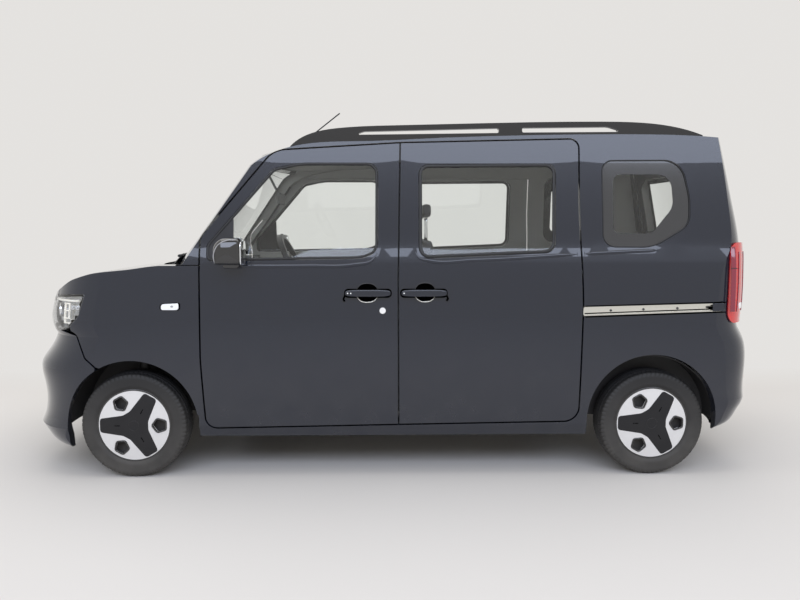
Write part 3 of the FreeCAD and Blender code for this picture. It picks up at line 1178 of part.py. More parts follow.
def wipers():
    """Two wipers parked at the foot of the windscreen: a blade along the glass and an arm from the cowl."""
    arms = []
    for y0 in (LEFT_WIPER_Y, RIGHT_WIPER_Y):
        y1 = y0 + WIPER_LENGTH
        start, middle, end = (ahead_of_screen(y, WIPER_Z) for y in (y0, (y0 + y1) / 2, y1))
        blade = Part.makeCylinder(WIPER_RADIUS, (end - start).Length, start, end - start)
        knee = ahead_of_screen(y0 + WIPER_LENGTH / 4, WIPER_KNEE_Z)
        arm = Part.makeCylinder(WIPER_RADIUS, (middle - knee).Length, knee, middle - knee)
        seat_z = cowl_edge_z(abs(knee.y) - 2 * WIPER_RADIUS) + SEAT_CLEARANCE
        post = upright_pin(knee.x, knee.y, seat_z, WIPER_KNEE_Z + WIPER_RADIUS, 2 * WIPER_RADIUS)
        arms.append(blade.fuse(arm).fuse(post))
    return Part.makeCompound(arms)


def ahead_of_screen(y, z):
    """The place of a wiper part in front of the bowed windscreen line."""
    foot, head = side(*SCREEN_LINE_SHARES[0]), side(*SCREEN_LINE_SHARES[1])
    slope = (head.x - foot.x) / (head.z - foot.z)
    bow = SCREEN_BOW * (y / HALF_WIDTH) ** 2
    return V(foot.x + slope * (z - foot.z) - WIPER_STANDOFF + bow, y, z)


def cowl_edge_z(y):
    """The height of the cowl's front edge, which stands upright under the foot of the bowed windscreen line."""
    foot = side(*SCREEN_LINE_SHARES[0])
    edge_x = foot.x + COWL_RECESS + SCREEN_BOW * (y / HALF_WIDTH) ** 2
    return COWL_Z - (edge_x - COWL_X) * (COWL_Z - COWL_BEND_Z) / (BULKHEAD_X - COWL_X)


def antenna():
    """The roof rod and its foot, which stands square to the roof."""
    ahead, behind = ANTENNA_X - ANTENNA_FOOT, ANTENNA_X + ANTENNA_FOOT
    up = V(roof_z(ahead) - roof_z(behind), 0, 2 * ANTENNA_FOOT)
    up.normalize()
    foot = V(ANTENNA_X, 0, roof_z(ANTENNA_X)) + up * SEAT_CLEARANCE
    base = Part.makeCone(ANTENNA_FOOT, 2 * ANTENNA_RADIUS, ANTENNA_FOOT_HEIGHT, foot, up)
    angle = math.radians(ANTENNA_LEAN_DEG)
    lean = V(math.cos(angle), 0, math.sin(angle)) * ANTENNA_LENGTH
    rod = Part.makeCylinder(ANTENNA_RADIUS, lean.Length, foot + up * 2 * ANTENNA_RADIUS, lean)
    return rod.fuse(base)


def roof_z(x):
    """The height of the roof on the centre line."""
    probe = UNDER_TOP.common(Part.makeLine(V(x, 0, SHOULDER_Z), V(x, 0, FAR)))
    return probe.BoundBox.ZMax


def side_repeaters():
    """The small lamps on the front wings."""
    lamp = padded_block(REPEATER_X, REPEATER_X + REPEATER_LENGTH, -HALF_WIDTH - REPEATER_PROUD, -HALF_WIDTH / 2,
                        REPEATER_Z, REPEATER_Z + REPEATER_HEIGHT, REPEATER_HEIGHT / 3)
    lamp = lamp.cut(side_slab(0.0))
    return Part.makeCompound([lamp, mirrored(lamp)])


def write(name, shape):
    """One sub-part as a file."""
    solids = [solid for solid in shape.Solids if solid.Volume > SLIVER_VOLUME]
    shape = solids[0] if len(solids) == 1 else Part.makeCompound(solids)
    shape.exportStep(os.path.join("parts", name + ".step"))
    print(name, len(solids), shape.isValid(), flush=True)


os.makedirs("parts", exist_ok=True)
FACE = face_solid()
UNDER_BONNET = bonnet_solid()
UNDER_TOP = top_solid()
AHEAD_OF_TAIL = tail_solid()
OUTER, HOLLOW = body_skin()
SHELL = OUTER.cut(HOLLOW)

for make in (roof_panel, side_frames, inner_pillars, sills, quarter_panels, door_tracks, tail_lamps, front_fenders,
             front_bumper, headlamps, bonnet, rear_bumper, tailgate, tailgate_glass, windscreen, sliding_doors, side_glass,
             roof_rails, front_suspension, wheel_houses, floor_pan, front_bulkhead, dashboard, steering_wheel,
             seat_cushions, seat_backs, interior_mirror, sliding_door_handles, rear_axle, rear_springs,
             battery_pack, drive_motor, wipers, antenna, side_repeaters):
    write(make.__name__, make())
for name, shape in (("front_door", front_door()), ("door_glass", window_glass(FRONT_WINDOW_SHARES)),
                    ("door_mirror", door_mirror()), ("door_handle", door_handle(FRONT_HANDLE_X))):
    write(name + "_left", shape)
    write(name + "_right", mirrored(shape))
write("knuckle_left", knuckle(-1))
write("knuckle_right", knuckle(1))
for place, axle_x, out in (("front_left", FRONT_AXLE_X, -1), ("front_right", FRONT_AXLE_X, 1),
                           ("rear_left", REAR_AXLE_X, -1), ("rear_right", REAR_AXLE_X, 1)):
    centre = wheel_centre(axle_x, out)
    write("tyre_" + place, tyre(centre, out))
    write("rim_" + place, rim(centre, out))
    write("wheel_cover_" + place, wheel_cover(centre, out))
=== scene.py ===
"""Looks of a small electric microvan: gloss black body, clear glass, white wheel covers with a black star.

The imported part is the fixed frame: -X is the front, +Z is up, and the left side is at negative Y, in metres.
New pieces are numpy surfaces: a grid of points worked out from a formula, or a section carried along a path.
Outlines on the body side are lists of (x, z) places on the left; the right side's pieces are mirror images.
"""
import bmesh
import bpy
import math
import numpy as np
from mathutils.bvhtree import BVHTree
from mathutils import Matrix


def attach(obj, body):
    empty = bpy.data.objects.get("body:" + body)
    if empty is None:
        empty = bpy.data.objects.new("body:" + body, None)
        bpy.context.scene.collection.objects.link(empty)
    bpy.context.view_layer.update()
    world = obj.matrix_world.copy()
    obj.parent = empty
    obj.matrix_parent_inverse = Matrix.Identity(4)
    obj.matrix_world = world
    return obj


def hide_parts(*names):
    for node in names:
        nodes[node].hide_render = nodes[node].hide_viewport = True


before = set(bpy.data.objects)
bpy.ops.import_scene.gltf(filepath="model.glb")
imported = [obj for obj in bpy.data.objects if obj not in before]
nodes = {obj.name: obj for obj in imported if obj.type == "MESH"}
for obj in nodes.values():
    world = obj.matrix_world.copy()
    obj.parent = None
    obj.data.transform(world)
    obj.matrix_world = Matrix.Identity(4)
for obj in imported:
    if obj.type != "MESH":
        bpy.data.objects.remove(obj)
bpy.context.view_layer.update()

SIDES = (("left", -1.0), ("right", 1.0))
BODY_HALF_WIDTH = 0.770
ROOF_Z = 1.748
FORWARDS = (-1.0, 0.0, 0.0)
BACKWARDS = (1.0, 0.0, 0.0)
LEFTWARDS = (0.0, -1.0, 0.0)
DOOR = "front_door_{}_body"


# Mesh helpers: arrays in, finished pieces out

def grid(points, wrap_u=False, wrap_v=False):
    """Quads over a (u, v) array of points; a wrapped direction joins its last row to its first."""
    points = np.asarray(points, float)
    rows, cols = points.shape[:2]
    u = np.arange(rows if wrap_u else rows - 1)[:, None]
    v = np.arange(cols if wrap_v else cols - 1)[None, :]
    a = u * cols + v
    b = (u + 1) % rows * cols + v
    c = (u + 1) % rows * cols + (v + 1) % cols
    d = u * cols + (v + 1) % cols
    return points.reshape(-1, 3), np.stack([a, b, c, d], -1).reshape(-1, 4)


def stack(parts):
    """Several (points, faces) pairs as one pair."""
    points, faces, start = [], [], 0
    for part_points, part_faces in parts:
        points.append(part_points)
        faces.append(np.asarray(part_faces) + start)
        start += len(part_points)
    return np.concatenate(points), np.concatenate(faces)


def on_side(part, sign):
    """A pair worked out for the left side, put on the side that sign names; its faces still look outwards."""
    points, faces = part
    return part if sign < 0 else (points * (1, -1, 1), np.asarray(faces)[:, ::-1])


def placed(name, data):
    """A new object of some data, in the scene."""
    obj = bpy.data.objects.new(name, data)
    bpy.context.scene.collection.objects.link(obj)
    return obj


def piece(name, part, body, slot, material, flat_deg=None, replaces=(), wall=None):
    """A finished object from a (points, faces) pair, riding on a body; a wall thickens a sheet inwards."""
    points, faces = part
    mesh = bpy.data.meshes.new(name)
    mesh.from_pydata(points.tolist(), [], np.asarray(faces).tolist())
    work = bmesh.new()
    work.from_mesh(mesh)
    bmesh.ops.remove_doubles(work, verts=work.verts, dist=1e-6)
    bmesh.ops.recalc_face_normals(work, faces=work.faces)
    work.to_mesh(mesh)
    work.free()
    mesh.polygons.foreach_set("use_smooth", np.ones(len(mesh.polygons), bool))
    if flat_deg:
        mesh.set_sharp_from_angle(angle=math.radians(flat_deg))
    mesh.materials.append(material)
    obj = placed(name, mesh)
    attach(obj, body)
    if replaces:
        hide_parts(*replaces)
    if wall:
        sheet = obj.modifiers.new("wall", "SOLIDIFY")
        sheet.thickness = wall
        sheet.offset = -1.0
    return obj


def both(name, part, body, slot, material, replaces=(), **options):
    """A left piece and its mirror image on the right; {} in a body's or a node's name stands for the side."""
    for side, sign in SIDES:
        piece(f"{name}_{side}", on_side(part, sign), body.format(side), slot, material,
              replaces=[node.format(side) for node in replaces], **options)


def resampled(path, count, closed):
    """Points at equal steps along a path of (x, z) places or of points."""
    path = np.asarray(path, float)
    if closed:
        path = np.concatenate([path, path[:1]])
    run = np.concatenate([[0], np.cumsum(np.linalg.norm(np.diff(path, axis=0), axis=1))])
    at = np.linspace(0, run[-1], count + 1)[:-1] if closed else np.linspace(0, run[-1], count)
    return np.stack([np.interp(at, run, line) for line in path.T], -1)


def carried(path, section, up, closed=True):
    """A closed section carried along a path: point = path + s0 * side + s1 * up, side square to both."""
    path, section = np.asarray(path, float), np.asarray(section, float)
    if closed:
        tangent = np.roll(path, -1, 0) - np.roll(path, 1, 0)
    else:
        tangent = np.gradient(path, axis=0)
    tangent /= np.linalg.norm(tangent, axis=1, keepdims=True)
    up = np.broadcast_to(np.asarray(up, float), path.shape)
    up = up - (up * tangent).sum(1, keepdims=True) * tangent
    up = up / np.linalg.norm(up, axis=1, keepdims=True)
    across = np.cross(tangent, up)
    points = (path[:, None] + section[None, :, :1] * across[:, None] + section[None, :, 1:2] * up[:, None])
    part = grid(points, wrap_u=closed, wrap_v=True)
    if closed:
        return part
    ends = [grid([ring, np.broadcast_to(ring.mean(0), ring.shape)], wrap_v=True) for ring in points[[0, -1]]]
    return stack([part] + ends)


def round_angles(count):
    """Evenly shared angles of one full turn."""
    return np.linspace(0, 2 * np.pi, count, endpoint=False)


def ring_section(width, height, power=4.0, count=16):
    """A rounded bar section: |x/w|^p + |y/h|^p = 1."""
    c, s = np.cos(round_angles(count)), np.sin(round_angles(count))
    return np.stack([width / 2 * np.sign(c) * np.abs(c) ** (2 / power),
                     height / 2 * np.sign(s) * np.abs(s) ** (2 / power)], -1)


def oval(x, z, half_x, half_z, count=24, bow=1.0):
    """An oval outline round a place; a bow under 1 fills out its ends."""
    c, s = np.cos(round_angles(count)), np.sin(round_angles(count))
    return np.stack([x + half_x * np.sign(c) * np.abs(c) ** bow, z + half_z * s], -1)


def rounded_outline(corners, radii, per_arc=7):
    """A closed outline through corners, each turned by a tangent arc of its radius."""
    p = np.asarray(corners, float)
    radii = np.broadcast_to(np.asarray(radii, float), len(p))
    a, b = np.roll(p, 1, 0) - p, np.roll(p, -1, 0) - p
    room = np.minimum(np.linalg.norm(a, axis=1), np.linalg.norm(b, axis=1)) / 2
    a /= np.linalg.norm(a, axis=1, keepdims=True)
    b /= np.linalg.norm(b, axis=1, keepdims=True)
    half = np.arccos(np.clip((a * b).sum(1), -1, 1)) / 2
    reach = np.minimum(radii / np.tan(half), room)
    middle = a + b
    middle /= np.linalg.norm(middle, axis=1, keepdims=True)
    centre = p + middle * (reach / np.cos(half))[:, None]
    start, end = p + a * reach[:, None] - centre, p + b * reach[:, None] - centre
    turn = (np.pi - 2 * half)[:, None]
    t = np.linspace(0, 1, per_arc)[None, :]
    w0, w1 = np.sin((1 - t) * turn) / np.sin(turn), np.sin(t * turn) / np.sin(turn)
    return (centre[:, None] + w0[..., None] * start[:, None] + w1[..., None] * end[:, None]).reshape(-1, 2)


def rounded_rectangle(x0, x1, z0, z1, radii, per_arc=7):
    """An upright rectangle with rounded corners."""
    return rounded_outline([(x0, z0), (x1, z0), (x1, z1), (x0, z1)], radii, per_arc)


def cad_triangles(name):
    """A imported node's own triangles with equal points merged: (points, triangles, centres, normals)."""
    mesh = nodes[name].data
    corners = np.empty(len(mesh.loops), np.int32)
    mesh.loops.foreach_get("vertex_index", corners)
    unique, index = np.unique(np.round(vertices_of(mesh), 6), axis=0, return_inverse=True)
    faces = index.ravel()[corners.reshape(-1, 3)]
    keep = (faces[:, 0] != faces[:, 1]) & (faces[:, 1] != faces[:, 2]) & (faces[:, 2] != faces[:, 0])
    faces = faces[keep]
    a, b, c = (unique[faces[:, k]] for k in range(3))
    normals = np.cross(b - a, c - a)
    normals /= np.maximum(np.linalg.norm(normals, axis=1, keepdims=True), 1e-12)
    return unique, faces, (a + b + c) / 3, normals


def vertices_of(mesh):
    """A mesh's points as an array."""
    points = np.empty(len(mesh.vertices) * 3)
    mesh.vertices.foreach_get("co", points)
    return points.reshape(-1, 3)


def border_loops(points, faces):
    """The closed borders of a patch of triangles, longest first, as arrays of points."""
    edges = np.concatenate([faces[:, [0, 1]], faces[:, [1, 2]], faces[:, [2, 0]]])
    _, first, count = np.unique(np.sort(edges, 1), axis=0, return_index=True, return_counts=True)
    after = {int(a): int(b) for a, b in edges[first[count == 1]]}
    loops = []
    while after:
        start, here = next(iter(after.items()))
        chain = [start]
        del after[start]
        while here != start and here in after:
            chain.append(here)
            here = after.pop(here)
        loops.append(points[chain])
    return sorted(loops, key=lambda p: -np.linalg.norm(np.diff(p, axis=0), axis=1).sum())


def outer_borders(name, way, least=0.4, keep=None):
    """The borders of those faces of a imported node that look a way, longest first."""
    points, faces, centres, normals = cad_triangles(name)
    chosen = normals @ np.asarray(way, float) > least
    if keep is not None:
        chosen &= keep(centres)
    return border_loops(points, faces[chosen])


def smooth(x, xs, ys):
    """A smooth curve through points: cubic pieces that meet with equal slopes."""
    x, xs, ys = np.asarray(x, float), np.asarray(xs, float), np.asarray(ys, float)
    slope = np.gradient(ys, xs)
    i = np.clip(np.searchsorted(xs, x) - 1, 0, len(xs) - 2)
    step = xs[i + 1] - xs[i]
    t = (x - xs[i]) / step
    rise = (2 * t ** 3 - 3 * t ** 2 + 1) * ys[i] + (3 * t ** 2 - 2 * t ** 3) * ys[i + 1]
    return rise + step * ((t ** 3 - 2 * t ** 2 + t) * slope[i] + (t ** 3 - t ** 2) * slope[i + 1])


def curve_through(points, count):
    """Evenly shared points on a smooth curve through a few points."""
    points = np.asarray(points, float)
    run = np.concatenate([[0], np.cumsum(np.linalg.norm(np.diff(points, axis=0), axis=1))])
    at = np.linspace(0, run[-1], count)
    return np.stack([smooth(at, run, line) for line in points.T], -1)


SKIN_Z = ROOF_Z * np.array([0.1499, 0.2403, 0.3890, 0.5149, 0.5950, 0.6264, 0.6579, 0.7151, 0.7895, 0.8753,
                            0.9668])
SKIN_HALF = BODY_HALF_WIDTH * np.array([0.9766, 0.9922, 1.0, 0.9987, 0.9922, 0.9831, 0.9675, 0.9519, 0.9351,
                                        0.9130, 0.8883])


def skin(z):
    """Half width of the body side at a height."""
    return smooth(z, SKIN_Z, SKIN_HALF)


def with_y(flat, y):
    """(x, z) places with their y put in between."""
    return np.stack([flat[..., 0], y + 0 * flat[..., 0], flat[..., 1]], -1)


def plate_rings(outline, rings, middle=0.0):
    """An outline drawn in to its middle: rings out to its edge, then three that form the rim."""
    share = np.concatenate([np.linspace(0.0, 0.97, rings), [0.99, 1.0, 1.0]])
    return middle + share[:, None, None] * (outline - middle)


def side_plate(outline, lift, thickness=0.0012, rings=10):
    """A thin plate on the left body side: point = (x, -(skin(z) + lift + rise), z), its rim turned down."""
    outline = np.asarray(outline, float)
    flat = plate_rings(outline, rings, outline.mean(0))
    rise = np.concatenate([np.full(rings, thickness), [thickness * 0.8, thickness * 0.3, -0.002]])
    return grid(with_y(flat, -(skin(flat[..., 1]) + lift + rise[:, None])), wrap_v=True)


def side_strip(path, section, lift, count, closed=False):
    """A section carried along an (x, z) path on the left body side, with its second axis turned outwards."""
    flat = resampled(path, count, closed)
    return carried(with_y(flat, -(skin(flat[:, 1]) + lift)), section, LEFTWARDS, closed)


def rounded_box(centre, size, power, steps=14):
    """A closed block, |x/a|^n + |y/b|^n + |z/c|^n = 1: the faces of a cube pushed out to that surface."""
    t = np.tan(np.linspace(-np.pi / 4, np.pi / 4, steps))
    a, b = np.meshgrid(t, t, indexing="ij")
    sides = []
    for axis in range(3):
        for sign in (-1.0, 1.0):
            trio = [None, None, None]
            trio[axis], trio[(axis + 1) % 3], trio[(axis + 2) % 3] = sign * np.ones_like(a), a, sign * b
            p = np.stack(trio, -1)
            p /= (np.abs(p) ** power).sum(-1, keepdims=True) ** (1 / power)
            sides.append(grid(np.asarray(centre) + p * np.asarray(size) / 2))
    return stack(sides)


def square_to(way):
    """(way, side, up): a direction of length 1 and the two that stand square to it."""
    way = np.asarray(way, float) / np.linalg.norm(way)
    side = np.cross(way, (0.0, 0.0, 1.0))
    side /= np.linalg.norm(side)
    return way, side, np.cross(side, way)


def ring_round(centre, way, radius, section):
    """A closed ring of a section round a centre, square to a way."""
    way, side, up = square_to(way)
    t = round_angles(64)[:, None]
    return carried(centre + radius * (np.cos(t) * side + np.sin(t) * up), section, way)


def tapered(part, count, ring, ends):
    """Thins the ends of a carried strip: each ring is pulled to its own middle, most at the two ends."""
    points, faces = part
    rings = points[:count * ring].reshape(count, ring, 3)
    run = np.linspace(0, 1, count)
    share = np.clip(np.minimum(run, 1 - run) / ends, 0.02, 1) ** 0.5
    middle = rings.mean(1, keepdims=True)
    rings[:] = middle + share[:, None, None] * (rings - middle)
    points[:count * ring] = rings.reshape(-1, 3)
    return points, faces


# Shared shader effects

MIX_SOCKETS = {"RGBA": (6, 7, 2), "FLOAT": (2, 3, 0)}
PAINT = (0.0055, 0.0088, 0.0195)
TRIM_LIGHT = (0.58, 0.58, 0.55)
CEILING_Z = 1.45
GRAIN_RELIEF = 0.0004
THREAD_RELIEF = 0.0006
GLASS_IOR = 1.45


def put(tree, value, socket):
    """Links a value that is another node's output, and sets any other value on the socket."""
    if isinstance(value, bpy.types.NodeSocket):
        tree.links.new(value, socket)
    else:
        socket.default_value = value


def feed(tree, node, **values):
    """Puts values into a node's sockets by name, with _ for a space."""
    for key, value in values.items():
        put(tree, value, node.inputs[key.replace("_", " ")])


def add(tree, kind, **values):
    """A node with some of its properties and sockets set."""
    node = tree.nodes.new(kind)
    for key, value in values.items():
        if hasattr(node, key):
            setattr(node, key, value)
        else:
            feed(tree, node, **{key: value})
    return node


def maths(tree, operation, a, b=0.0):
    """One Math node on two values or links; gives its output."""
    node = add(tree, "ShaderNodeMath", operation=operation)
    for socket, value in zip(node.inputs, (a, b)):
        put(tree, value, socket)
    return node.outputs[0]


def mixed(tree, share, a, b, kind="RGBA", **values):
    """One Mix node from a to b; gives its output."""
    node = add(tree, "ShaderNodeMix", data_type=kind, **values)
    first, second, result = MIX_SOCKETS[kind]
    for place, value in ((0, share), (first, a), (second, b)):
        put(tree, value, node.inputs[place])
    return node.outputs[result]


def object_place(tree):
    """The place on the object, in metres."""
    return add(tree, "ShaderNodeTexCoord").outputs["Object"]


def noise(tree, place, scale, detail):
    """Noise over a place, from 0 to 1."""
    return add(tree, "ShaderNodeTexNoise", Vector=place, Scale=scale, Detail=detail).outputs[0]


def new_group(name, inputs, outputs):
    """An empty shader group: (tree, its given values, its output node). Four numbers make a colour."""
    tree = bpy.data.node_groups.new(name, "ShaderNodeTree")
    for title, value in inputs.items():
        kind = "NodeSocketColor" if isinstance(value, tuple) else "NodeSocketFloat"
        tree.interface.new_socket(name=title, in_out="INPUT", socket_type=kind).default_value = value
    for title in outputs:
        kind = "NodeSocketColor" if title == "Color" else "NodeSocketFloat"
        tree.interface.new_socket(name=title, in_out="OUTPUT", socket_type=kind)
    return tree, tree.nodes.new("NodeGroupInput").outputs, tree.nodes.new("NodeGroupOutput")


def fine_grain_group():
    """Moulded or cast grain: noise height, and roughness that wanders with a coarser noise."""
    tree, given, result = new_group("fine_grain", {"Scale": 900.0, "Roughness": 0.5, "Spread": 0.1},
                                    ("Height", "Roughness"))
    place = object_place(tree)
    coarse = maths(tree, "SUBTRACT", noise(tree, place, 6.0, 4.0), 0.5)
    wander = maths(tree, "MULTIPLY", coarse, given["Spread"])
    feed(tree, result, Roughness=maths(tree, "ADD", wander, given["Roughness"]),
         Height=noise(tree, place, given["Scale"], 3.0))
    return tree


def road_dust_group():
    """Light dust that lies near the ground: mask = amount * noise * (1 - z / height)."""
    tree, given, result = new_group(
        "road_dust", {"Color": (0.0, 0.0, 0.0, 1.0), "Dust": (0.3, 0.28, 0.25, 1.0), "Amount": 0.1,
                      "Height": 0.7, "Roughness": 0.2}, ("Color", "Roughness"))
    place = object_place(tree)
    height = add(tree, "ShaderNodeSeparateXYZ", Vector=place).outputs["Z"]
    low = maths(tree, "SUBTRACT", 1.0, maths(tree, "DIVIDE", height, given["Height"]))
    cover = maths(tree, "MULTIPLY", maths(tree, "MAXIMUM", low, 0.0), noise(tree, place, 9.0, 6.0))
    mask = maths(tree, "MULTIPLY", cover, given["Amount"])
    feed(tree, result, Color=mixed(tree, mask, given["Color"], given["Dust"]),
         Roughness=maths(tree, "ADD", given["Roughness"], maths(tree, "MULTIPLY", mask, 0.5)))
    return tree


def cloth_weave_group():
    """Plain weave: two crossed sine waves in object space, with a tone that follows the threads."""
    tree, given, result = new_group("cloth_weave", {"Color": (0.1, 0.1, 0.1, 1.0), "Thread": 420.0},
                                    ("Color", "Height"))
    place = object_place(tree)
    x, y, z = (add(tree, "ShaderNodeTexWave", bands_direction=direction, Distortion=0.4, Vector=place,
                   Scale=given["Thread"]).outputs["Fac"] for direction in "XYZ")
    height = maths(tree, "ADD", maths(tree, "MULTIPLY", x, y), z)
    stains = maths(tree, "MULTIPLY", noise(tree, place, 40.0, 4.0), 0.6)
    level = maths(tree, "ADD", maths(tree, "MULTIPLY", height, 0.35), stains)
    grey = add(tree, "ShaderNodeCombineColor", Red=level, Green=level, Blue=level).outputs[0]
    feed(tree, result, Color=mixed(tree, 0.6, given["Color"], grey, blend_type="MULTIPLY"), Height=height)
    return tree


FINE_GRAIN = fine_grain_group()
ROAD_DUST = road_dust_group()
CLOTH_WEAVE = cloth_weave_group()


def new_material(name, **sockets):
    """A node material: (material, its tree, its Principled shader with some sockets set)."""
    material = bpy.data.materials.new(name)
    material.use_nodes = True
    shader = material.node_tree.nodes["Principled BSDF"]
    feed(material.node_tree, shader, **sockets)
    return material, material.node_tree, shader


def finish(name, color, roughness, metallic=0.0, grain=900.0, bump=0.0, spread=0.08, dust=0.0,
           dust_height=0.7, edge=0.0, **sockets):
    """A Principled finish with grain, road dust and, where edge is given, softened corners of that radius."""
    material, tree, shader = new_material(name, Metallic=metallic, **sockets)
    grained = add(tree, "ShaderNodeGroup", node_tree=FINE_GRAIN, Scale=grain, Roughness=roughness,
                  Spread=spread)
    dusty = add(tree, "ShaderNodeGroup", node_tree=ROAD_DUST, Color=(*color, 1.0), Amount=dust,
                Height=dust_height, Roughness=grained.outputs["Roughness"])
    relief = add(tree, "ShaderNodeBump", Strength=bump, Distance=GRAIN_RELIEF,
                 Height=grained.outputs["Height"])
    if edge:
        feed(tree, relief, Normal=add(tree, "ShaderNodeBevel", samples=4, Radius=edge).outputs[0])
    feed(tree, shader, Base_Color=dusty.outputs["Color"], Roughness=dusty.outputs["Roughness"],
         Normal=relief.outputs[0])
    return material


def inside_mask(tree):
    """1 where a face looks into the cabin: its normal points to the centre plane, or down under the roof."""
    facing = add(tree, "ShaderNodeNewGeometry").outputs["True Normal"]
    spot = add(tree, "ShaderNodeSeparateXYZ", Vector=object_place(tree)).outputs
    normal = add(tree, "ShaderNodeSeparateXYZ", Vector=facing).outputs
    inward = maths(tree, "MULTIPLY", maths(tree, "SIGN", spot["Y"]), normal["Y"])
    sideways = maths(tree, "LESS_THAN", inward, -0.5)
    under = maths(tree, "LESS_THAN", normal["Z"], -0.75)
    high = maths(tree, "GREATER_THAN", spot["Z"], CEILING_Z)
    return maths(tree, "MAXIMUM", sideways, maths(tree, "MULTIPLY", under, high))


def body_paint():
    """Black paint under clear coat, and light trim on the faces that look into the cabin."""
    material = finish("body_paint", PAINT, 0.22, grain=2600.0, bump=0.015, spread=0.04, dust=0.10,
                      dust_height=0.75, edge=0.003, Coat_Weight=1.0, Coat_Roughness=0.012,
                      Specular_IOR_Level=0.22)
    tree = material.node_tree
    shader = tree.nodes["Principled BSDF"]
    mask = inside_mask(tree)
    color, rough = (shader.inputs[name].links[0].from_socket for name in ("Base Color", "Roughness"))
    feed(tree, shader, Base_Color=mixed(tree, mask, color, (*TRIM_LIGHT, 1.0)),
         Roughness=mixed(tree, mask, rough, 0.62, "FLOAT"), Coat_Weight=maths(tree, "SUBTRACT", 1.0, mask))
    return material


def glass(name, color):
    """Thin clear glass: straight through, tinted, with a sharp reflection that grows at grazing angles."""
    material, tree, shader = new_material(name, Roughness=0.0, IOR=GLASS_IOR, Transmission_Weight=1.0)
    smudge = maths(tree, "MULTIPLY", noise(tree, object_place(tree), 5.0, 6.0), 0.2)
    smudged = tuple(0.85 * c for c in color)
    feed(tree, shader, Base_Color=mixed(tree, smudge, (*color, 1.0), (*smudged, 1.0)))
    return material


def woven(name, color, thread=420.0, sheen=0.3):
    """Woven seat cloth with a soft sheen."""
    material, tree, shader = new_material(name, Roughness=0.85, Sheen_Weight=sheen)
    weave = add(tree, "ShaderNodeGroup", node_tree=CLOTH_WEAVE, Color=(*color, 1.0), Thread=thread).outputs
    relief = add(tree, "ShaderNodeBump", Strength=0.4, Distance=THREAD_RELIEF, Height=weave["Height"])
    feed(tree, shader, Base_Color=weave["Color"], Normal=relief.outputs[0])
    return material


PAINTED = body_paint()
GLOSS_BLACK = finish("gloss_black", (0.008, 0.008, 0.010), 0.12, bump=0.01, dust=0.05, edge=0.0015,
                     Coat_Weight=0.6)
MATT_BLACK = finish("matt_black_moulding", (0.014, 0.014, 0.016), 0.55, bump=0.25, dust=0.25, edge=0.0015)
SATIN_BLACK = finish("satin_black_cover", (0.014, 0.014, 0.016), 0.40, bump=0.08, dust=0.05, edge=0.001,
                     Specular_IOR_Level=0.25)
RUBBER = finish("tyre_rubber", (0.009, 0.009, 0.010), 0.60, grain=500.0, bump=0.35, dust=0.35,
                dust_height=0.5)
SEAL = finish("seal_rubber", (0.010, 0.010, 0.011), 0.45, bump=0.1)
WHITE_COVER = finish("white_cover", (0.70, 0.69, 0.68), 0.28, bump=0.03, dust=0.15, dust_height=0.6,
                     edge=0.001, Coat_Weight=0.4)
STEEL = finish("painted_steel", (0.020, 0.020, 0.022), 0.45, grain=300.0, bump=0.2, dust=0.5,
               dust_height=0.6)
CAST = finish("cast_metal", (0.25, 0.25, 0.26), 0.5, metallic=0.9, grain=260.0, bump=0.5, dust=0.4)
BRIGHT = finish("bright_rail", (0.72, 0.71, 0.66), 0.24, metallic=1.0, grain=150.0, bump=0.02)
CHROME = finish("chrome", (0.85, 0.86, 0.88), 0.06, metallic=1.0)
WHITE_LENS = finish("white_lens", (0.92, 0.93, 0.95), 0.15, Coat_Weight=1.0)
RED_LENS = finish("red_lens", (0.62, 0.014, 0.016), 0.12, bump=0.02, Coat_Weight=1.0)
DARK_RED_LENS = finish("dark_red_lens", (0.22, 0.010, 0.034), 0.10, Coat_Weight=1.0)
LAMP_CHROME = finish("lamp_chrome", (0.42, 0.43, 0.44), 0.22, metallic=1.0, grain=200.0)
LIGHT_BAR = finish("light_bar", (0.95, 0.93, 0.86), 0.2, Emission_Color=(1.0, 0.96, 0.88, 1.0),
                   Emission_Strength=0.35)
DEEP_SHADE = finish("deep_shade", (0.0008, 0.0008, 0.0008), 0.95, Specular_IOR_Level=0.0)
CLEAR_GLASS = glass("clear_glass", (0.95, 0.97, 0.96))
LAMP_LENS = glass("lamp_lens", (0.97, 0.98, 0.99))
GREY_TRIM = finish("grey_trim", (0.17, 0.175, 0.17), 0.6, grain=1200.0, bump=0.5, edge=0.003)
CARPET = woven("floor_carpet", (0.03, 0.03, 0.032), thread=160.0, sheen=0.2)
SEAT_CLOTH = woven("seat_cloth", (0.13, 0.13, 0.14))
MIRROR = finish("mirror_glass", (0.85, 0.87, 0.9), 0.02, metallic=1.0)
FRIT = finish("painted_glass_border", (0.020, 0.021, 0.024), 0.12, Coat_Weight=1.0, Coat_Roughness=0.02)
MIRROR_BLACK = finish("mirror_black", (0.006, 0.006, 0.007), 0.08, Coat_Weight=1.0)
RAIL_GREY = finish("rail_grey", (0.30, 0.30, 0.31), 0.3, Coat_Weight=0.5)
LOCK_WHITE = finish("lock_white", (0.86, 0.86, 0.84), 0.2, Coat_Weight=0.5)
SCREEN = finish("screen_black", (0.004, 0.004, 0.005), 0.08, Coat_Weight=1.0)

